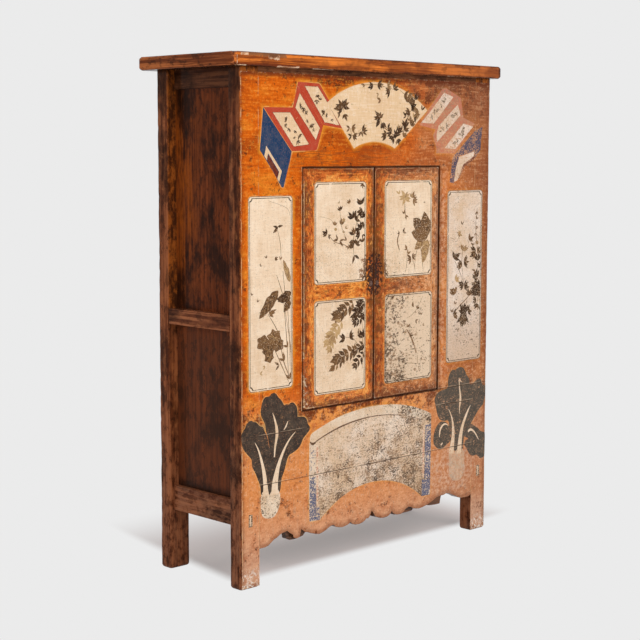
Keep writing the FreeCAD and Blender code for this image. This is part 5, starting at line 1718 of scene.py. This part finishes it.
class CABINET_OT_stage(bpy.types.Operator):
    """Set up the floor, the soft lamps and the camera"""
    bl_idname = "cabinet.stage"
    bl_label = "Studio"

    def execute(self, context):
        tints = context.scene.cabinet_finishes
        scene = context.scene
        reach, sky_strength = 14.0, 0.34
        mesh = bpy.data.meshes.new("floor")
        mesh.from_pydata([(-reach, -reach, 0), (reach, -reach, 0), (reach, reach, 0), (-reach, reach, 0)], [],
                         [(0, 1, 2, 3)])
        floor = bpy.data.objects.new("floor", mesh)
        scene.collection.objects.link(floor)
        mesh.materials.append(floor_material(tints))

        world = bpy.data.worlds.new("Studio")
        scene.world = world
        world.use_nodes = True
        tree = world.node_tree
        tree.nodes.clear()
        mixer = Mixer(tree)
        sky = mixer.new("Background", {"Color": tints.floor, "Strength": sky_strength})[0]
        plain = mixer.new("Background", {"Color": tints.floor, "Strength": 1.0})[0]
        both = mixer.new("MixShader", {0: seen_directly(mixer), 1: sky, 2: plain})[0]
        mixer.new("OutputWorld", {"Surface": both})

        lamps = {"key": ((-0.7, -4.8, 3.0), 3.6, 185), "side": ((-4.6, -0.6, 2.4), 2.4, 46),
                 "over": ((0.3, 0.6, 4.6), 3.0, 50)}
        for name, (place, size, power) in lamps.items():
            lamp = bpy.data.lights.new(name, "AREA")
            lamp.shape = "SQUARE"
            lamp.size = size
            lamp.energy = power
            holder = bpy.data.objects.new(name, lamp)
            holder.location = place
            holder.rotation_mode = "QUATERNION"
            holder.rotation_quaternion = (Vector((0, 0, 0.8)) - Vector(place)).to_track_quat("-Z", "Y")
            scene.collection.objects.link(holder)

        lens = bpy.data.cameras.new("view")
        lens.sensor_width = 36
        lens.lens = 85.19
        camera = bpy.data.objects.new("view", lens)
        camera.location = (-3.561, -3.637, 1.353)
        yaw, pitch, roll = 0.7691, 0.1123, 0.0018
        ahead = Vector((math.sin(yaw) * math.cos(pitch), math.cos(yaw) * math.cos(pitch), -math.sin(pitch)))
        camera.rotation_mode = "QUATERNION"
        camera.rotation_quaternion = ahead.to_track_quat("-Z", "Y") @ Quaternion((0, 0, 1), roll)
        scene.collection.objects.link(camera)
        scene.camera = camera
        scene.view_settings.view_transform = "Standard"
        return {"FINISHED"}


def seen_directly(mixer):
    """1 for what the camera sees directly, in a mirror or through glass."""
    path = mixer.new("LightPath")
    return most(*(path[f"Is {kind} Ray"] for kind in ("Camera", "Glossy", "Transmission")))


def floor_material(tints):
    """A pale floor that keeps shadows near the cabinet and melts into the backdrop further off."""
    material = bpy.data.materials.new("Studio floor")
    material.use_nodes = True
    material.node_tree.nodes.clear()
    mixer = Mixer(material.node_tree)
    at, x, y, _ = mixer.place()
    left = y * 0.15 - x - 0.4625
    right = (x - 0.62) * 0.25
    aside = most(left, right, 0.0)
    along = most(-0.08 - y, 0.0) + most(y - 0.25, 0.0) * 0.12
    away = root(aside * aside + along * along)
    paper = ease(noise(at, 0.8, 2), 0.3, 0.7, 0.02)
    # Painted bounce light: near the cabinet the floor is tinted warm, as if lit by the orange lacquer.
    near = mix(ease(away, 0.2, 0.0), tints.floor, tone(235, 218, 213))
    lit = mixer.new("BsdfDiffuse", {"Color": mix(paper, near, tone(228, 228, 228))})[0]
    plain = mixer.new("Emission", {"Color": tints.floor, "Strength": 1.0})[0]
    share = seen_directly(mixer) * (ease(away, 0.0, 0.07, 0.73) + 0.27)
    both = mixer.new("MixShader", {0: share, 1: lit, 2: plain})[0]
    mixer.new("OutputMaterial", {"Surface": both})
    return material


class CABINET_PT_panel(bpy.types.Panel):
    """Colours, sizes and steps of the painted cabinet"""
    bl_idname = "CABINET_PT_panel"
    bl_label = "Painted cabinet"
    bl_space_type = "VIEW_3D"
    bl_region_type = "UI"
    bl_category = "Cabinet"

    def draw(self, context):
        for group in (context.scene.cabinet_sizes, context.scene.cabinet_finishes):
            for name in type(group).__annotations__:
                self.layout.prop(group, name)
        for step in STEPS:
            self.layout.operator(step.bl_idname)


GROUPS = {"cabinet_finishes": CabinetFinishes, "cabinet_sizes": CabinetSizes}
STEPS = (CABINET_OT_finishes, CABINET_OT_posts, CABINET_OT_top, CABINET_OT_apron, CABINET_OT_ground,
         CABINET_OT_tenons, CABINET_OT_panels, CABINET_OT_albums, CABINET_OT_fan, CABINET_OT_scroll,
         CABINET_OT_cabbages, CABINET_OT_sprigs, CABINET_OT_stage)
CLASSES = (*GROUPS.values(), *STEPS, CABINET_PT_panel)


def register():
    for one in CLASSES:
        bpy.utils.register_class(one)
    for name, group in GROUPS.items():
        setattr(bpy.types.Scene, name, PointerProperty(type=group))


def unregister():
    for name in GROUPS:
        delattr(bpy.types.Scene, name)
    for one in reversed(CLASSES):
        bpy.utils.unregister_class(one)


def main():
    """Build every piece in order."""
    register()
    for step in STEPS:
        getattr(bpy.ops.cabinet, step.bl_idname.split(".")[1])()


if __name__ == "__main__":
    main()
